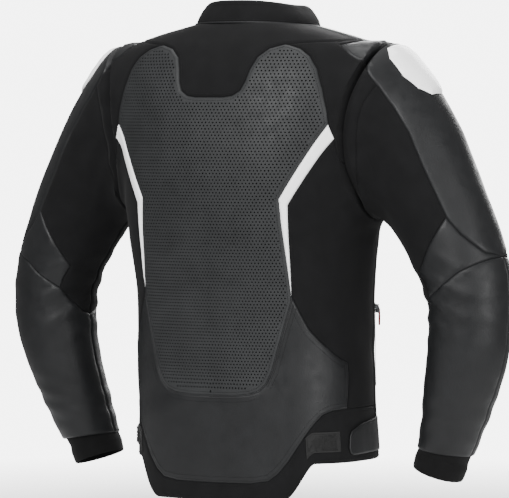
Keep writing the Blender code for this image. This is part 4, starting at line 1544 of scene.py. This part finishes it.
def make_pocket_zips(looks):
    """A short coil zip on each side of the front, with its slider at the top."""
    u = float(u_of(np.float64(POCKET_THETA)))
    low, high = TORSO[POCKET_FOOT, 0], TORSO[POCKET_HEAD, 0]
    outline = [(u - 0.009, low), (u + 0.009, low), (u + 0.009, high), (u - 0.009, high)]
    for side, label, part in copies(patch(outline, torso_surface)):
        part.shaped(rise=0.0018, roll=0.0012, sink=-0.0012)
        obj = sewn("pocket_tape_" + label, part, looks["tape"], 0.0010)
        hand_over(obj, "jacket", "zip_tape", ["pocket_zip_tape_" + label])
        declare_sheet(part)
        rows = stitched("pocket_tape_stitches_" + label, part, looks["thread"], (0.0022,))
        hand_over(rows, "jacket", "zip_tape")
    foot, head = pocket_end(POCKET_FOOT), pocket_end(POCKET_HEAD)
    around = Vector(torso_point(np.float64(POCKET_THETA + 0.05), TORSO[POCKET_HEAD, 0])) - head
    out = Vector((around.y, -around.x, 0.0)).normalized()
    facing = math.atan2(out.y, out.x) + math.pi / 2
    start = head + (foot - head).normalized() * 0.008 + out * (CLEAR + PATCH + 0.0008)
    for side, label in SIDES:
        flip = Vector((side, 1, 1))
        teeth = make_coil("pocket_teeth_" + label, foot, head, out, side, looks["metal"])
        hand_over(teeth, "jacket", "dark_metal")
        turned = Vector((side * out.x, out.y, 0))
        at = start * flip
        slider = rounded_solid("pocket_slider_" + label, (0.0090, 0.0040, 0.0120), looks["metal"], 0.8)
        stand(slider, at + turned * 0.0020, side * facing, 0.0)
        hand_over(slider, "pocket_slider_" + label, "dark_metal", ["pocket_zip_" + label + "_slider"])
        pull = make_pull("pocket_pull_" + label, 0.024, looks["red"])
        stand(pull, at + turned * 0.0054, side * facing, 0.0)
        hand_over(pull, "pocket_pull_" + label, "red_pull", ["pocket_zip_" + label + "_pull"])


def make_coil(name, foot, head, out, side, finish):
    verts, polys = [], []
    across = Vector((-out.y, out.x, 0))
    run = (foot - head).normalized()
    turn = Matrix((across, -out, Vector((0, 0, 1)))).transposed()
    for k in range(int((foot - head).length / 0.0018)):
        at = head + run * (k * 0.0018) + across * (0.0009 if k % 2 else -0.0009) + out * (CLEAR + PATCH)
        box_into(verts, polys, at, turn, (0.0028, 0.0012, 0.0011))
    verts = [(side * x, y, z) for x, y, z in verts]
    return mesh_object(name, verts, polys, finish)


def make_loop(looks):
    """The woven hanger loop inside the nape, bowed away from the lining between its two sewn ends."""
    rows = []
    for x in np.linspace(-0.030, 0.030, 41):
        bow = 0.0006 * math.cos(x / 0.030 * math.pi / 2)
        y, z = 0.0545 - bow, 0.6560 - NECK_LEVEL
        section = ((0.0008, -0.004), (0.0008, 0.004), (-0.0008, 0.004), (-0.0008, -0.004))  # 8 mm wide
        rows.append([Vector((x, y + a, z + b)) for a, b in section])
    loop = grid_object("hanger_strip", rows, looks["tape"])
    hand_over(loop, "jacket", "lining", ["hanger_loop"])


def make_looks():
    return {
        "leather": leather_material("black_leather", (0.0078, 0.0081, 0.0086)),
        "perforated": leather_material("perforated_leather", (0.0150, 0.0157, 0.0163), 0.55),
        "textile": weave_material("stretch_textile", (0.0042, 0.0042, 0.0045), 0.85),
        "backing": weave_material("backing_mesh", (0.0015, 0.0015, 0.0015), 0.9, 0.0011, 0.5, 0.0),
        "lining": weave_material("lining_mesh", (0.050, 0.050, 0.055), 0.85, 0.0024, 0.9),
        "knit": weave_material("cuff_knit", (0.0030, 0.0030, 0.0031), 0.88, 0.0009, 0.5),
        "tape": weave_material("zip_tape", (0.0036, 0.0036, 0.0037), 0.8, 0.0010, 0.7),
        "thread": weave_material("sewing_thread", (0.0060, 0.0060, 0.0064), 0.55, 0.0004, 0.6),
        "white": print_material("reflective_print", (0.90, 0.90, 0.90), 0.40),
        "plastic": print_material("white_plastic", (0.92, 0.92, 0.92), 0.30),
        "hooks": hook_material("hook_tape", (0.0022, 0.0022, 0.0022)),
        "metal": metal_material("dark_metal", (0.30, 0.30, 0.31), 0.35),
        "rubber": print_material("pull_rubber", (0.0060, 0.0060, 0.0060), 0.6),
        "red": print_material("red_pull", (0.35, 0.02, 0.02), 0.5),
        "foam": foam_material("armour_foam", (0.55, 0.42, 0.12)),
    }


# ---- Studio --------------------------------------------------------------------------------------

CAMERA_AZIMUTH = 210
CAMERA_ELEVATION = 2
CAMERA_DISTANCE = 6.0
CENTRE = Vector((0.0, 0.0, -0.3165))
PICTURE_WIDTH = 0.722
PICTURE_ASIDE = -0.005
FLOOR_LEVEL = -0.72
FLOOR_RADIUS = 1.5
AMBIENT = 0.35  # light that the surroundings give
BACKDROP = 6.0  # how bright the backdrop looks


def area_light(name, place, aim, width, watts):
    light = bpy.data.lights.new(name, "AREA")
    light.shape = "SQUARE"
    light.size = width
    light.energy = watts
    obj = bpy.data.objects.new(name, light)
    obj.location = place
    obj.rotation_euler = (Vector(aim) - Vector(place)).to_track_quat("-Z", "Y").to_euler()
    bpy.context.scene.collection.objects.link(obj)


def from_camera(right, back, up):
    """A place given by the photographer's right, towards the photographer, and up."""
    a = math.radians(CAMERA_AZIMUTH)
    aside = Vector((math.cos(a), math.sin(a), 0))
    towards = Vector((math.sin(a), -math.cos(a), 0))
    return CENTRE + aside * right + towards * back + Vector((0, 0, up))


def make_camera():
    data = bpy.data.cameras.new("camera")
    data.sensor_width = 36
    data.lens = 36 * CAMERA_DISTANCE / PICTURE_WIDTH
    camera = bpy.data.objects.new("camera", data)
    lift = math.radians(CAMERA_ELEVATION)
    place = from_camera(PICTURE_ASIDE, CAMERA_DISTANCE * math.cos(lift), CAMERA_DISTANCE * math.sin(lift))
    camera.location = place
    aim = from_camera(PICTURE_ASIDE, 0, 0)
    camera.rotation_euler = (aim - place).to_track_quat("-Z", "Y").to_euler()
    bpy.context.scene.collection.objects.link(camera)
    bpy.context.scene.camera = camera


def make_floor():
    """A pale round floor that fades out towards its edge."""
    verts, polys = [], []
    turns = 96
    for ring in range(1, 9):
        for k in range(turns):
            a = 2 * math.pi * k / turns
            r = FLOOR_RADIUS * ring / 8
            verts.append((r * math.cos(a), r * math.sin(a), FLOOR_LEVEL))
    for ring in range(7):
        for k in range(turns):
            a, b = ring * turns + k, ring * turns + (k + 1) % turns
            polys.append((a, a + turns, b + turns, b))
    polys.append(tuple(range(turns)))
    shader = Shader("floor", (0.86, 0.86, 0.86), 0.9)
    length = shader.tree.nodes.new("ShaderNodeVectorMath")
    length.operation = "LENGTH"
    shader.link(shader.place, length.inputs[0])
    fade = shader.ramp(length.outputs["Value"], 1.0, 0.0, FLOOR_RADIUS * 0.55, FLOOR_RADIUS)
    shader.link(fade, shader.main.inputs["Alpha"])
    mesh_object("floor", verts, polys, shader.material)


def make_studio():
    make_camera()
    make_floor()
    area_light("key", from_camera(-1.1, 2.2, 1.5), CENTRE, 1.6, 150)
    area_light("fill", from_camera(1.8, 2.0, 0.3), CENTRE, 1.8, 80)
    area_light("top", from_camera(0.0, -0.2, 2.2), CENTRE, 1.6, 45)
    area_light("front", from_camera(0.8, -2.4, 1.0), CENTRE, 1.8, 90)
    world = bpy.data.worlds.new("studio")
    world.use_nodes = True
    background = world.node_tree.nodes["Background"]
    background.inputs["Color"].default_value = (1, 1, 1, 1)
    seen = world.node_tree.nodes.new("ShaderNodeLightPath")
    strength = world.node_tree.nodes.new("ShaderNodeMapRange")
    strength.inputs["To Min"].default_value = AMBIENT
    strength.inputs["To Max"].default_value = BACKDROP
    world.node_tree.links.new(seen.outputs["Is Camera Ray"], strength.inputs["Value"])
    world.node_tree.links.new(strength.outputs["Result"], background.inputs["Strength"])
    bpy.context.scene.world = world


def main():
    looks = make_looks()
    arm_edge, arm_loop = armhole()
    torso = make_torso(tucked(arm_loop))
    sleeve, cuff_edge = make_sleeve(arm_edge)
    make_back(torso, looks)
    make_torso_pairs(torso, looks)
    make_sleeves(sleeve, looks)
    make_cuffs(cuff_edge, looks)
    make_collar_pieces(looks)
    make_lining(arm_loop, looks)
    make_armour(looks)
    make_shoulder_sliders(looks)
    make_tabs(looks)
    make_front_zip(looks)
    make_pocket_zips(looks)
    make_loop(looks)
    make_studio()


main()
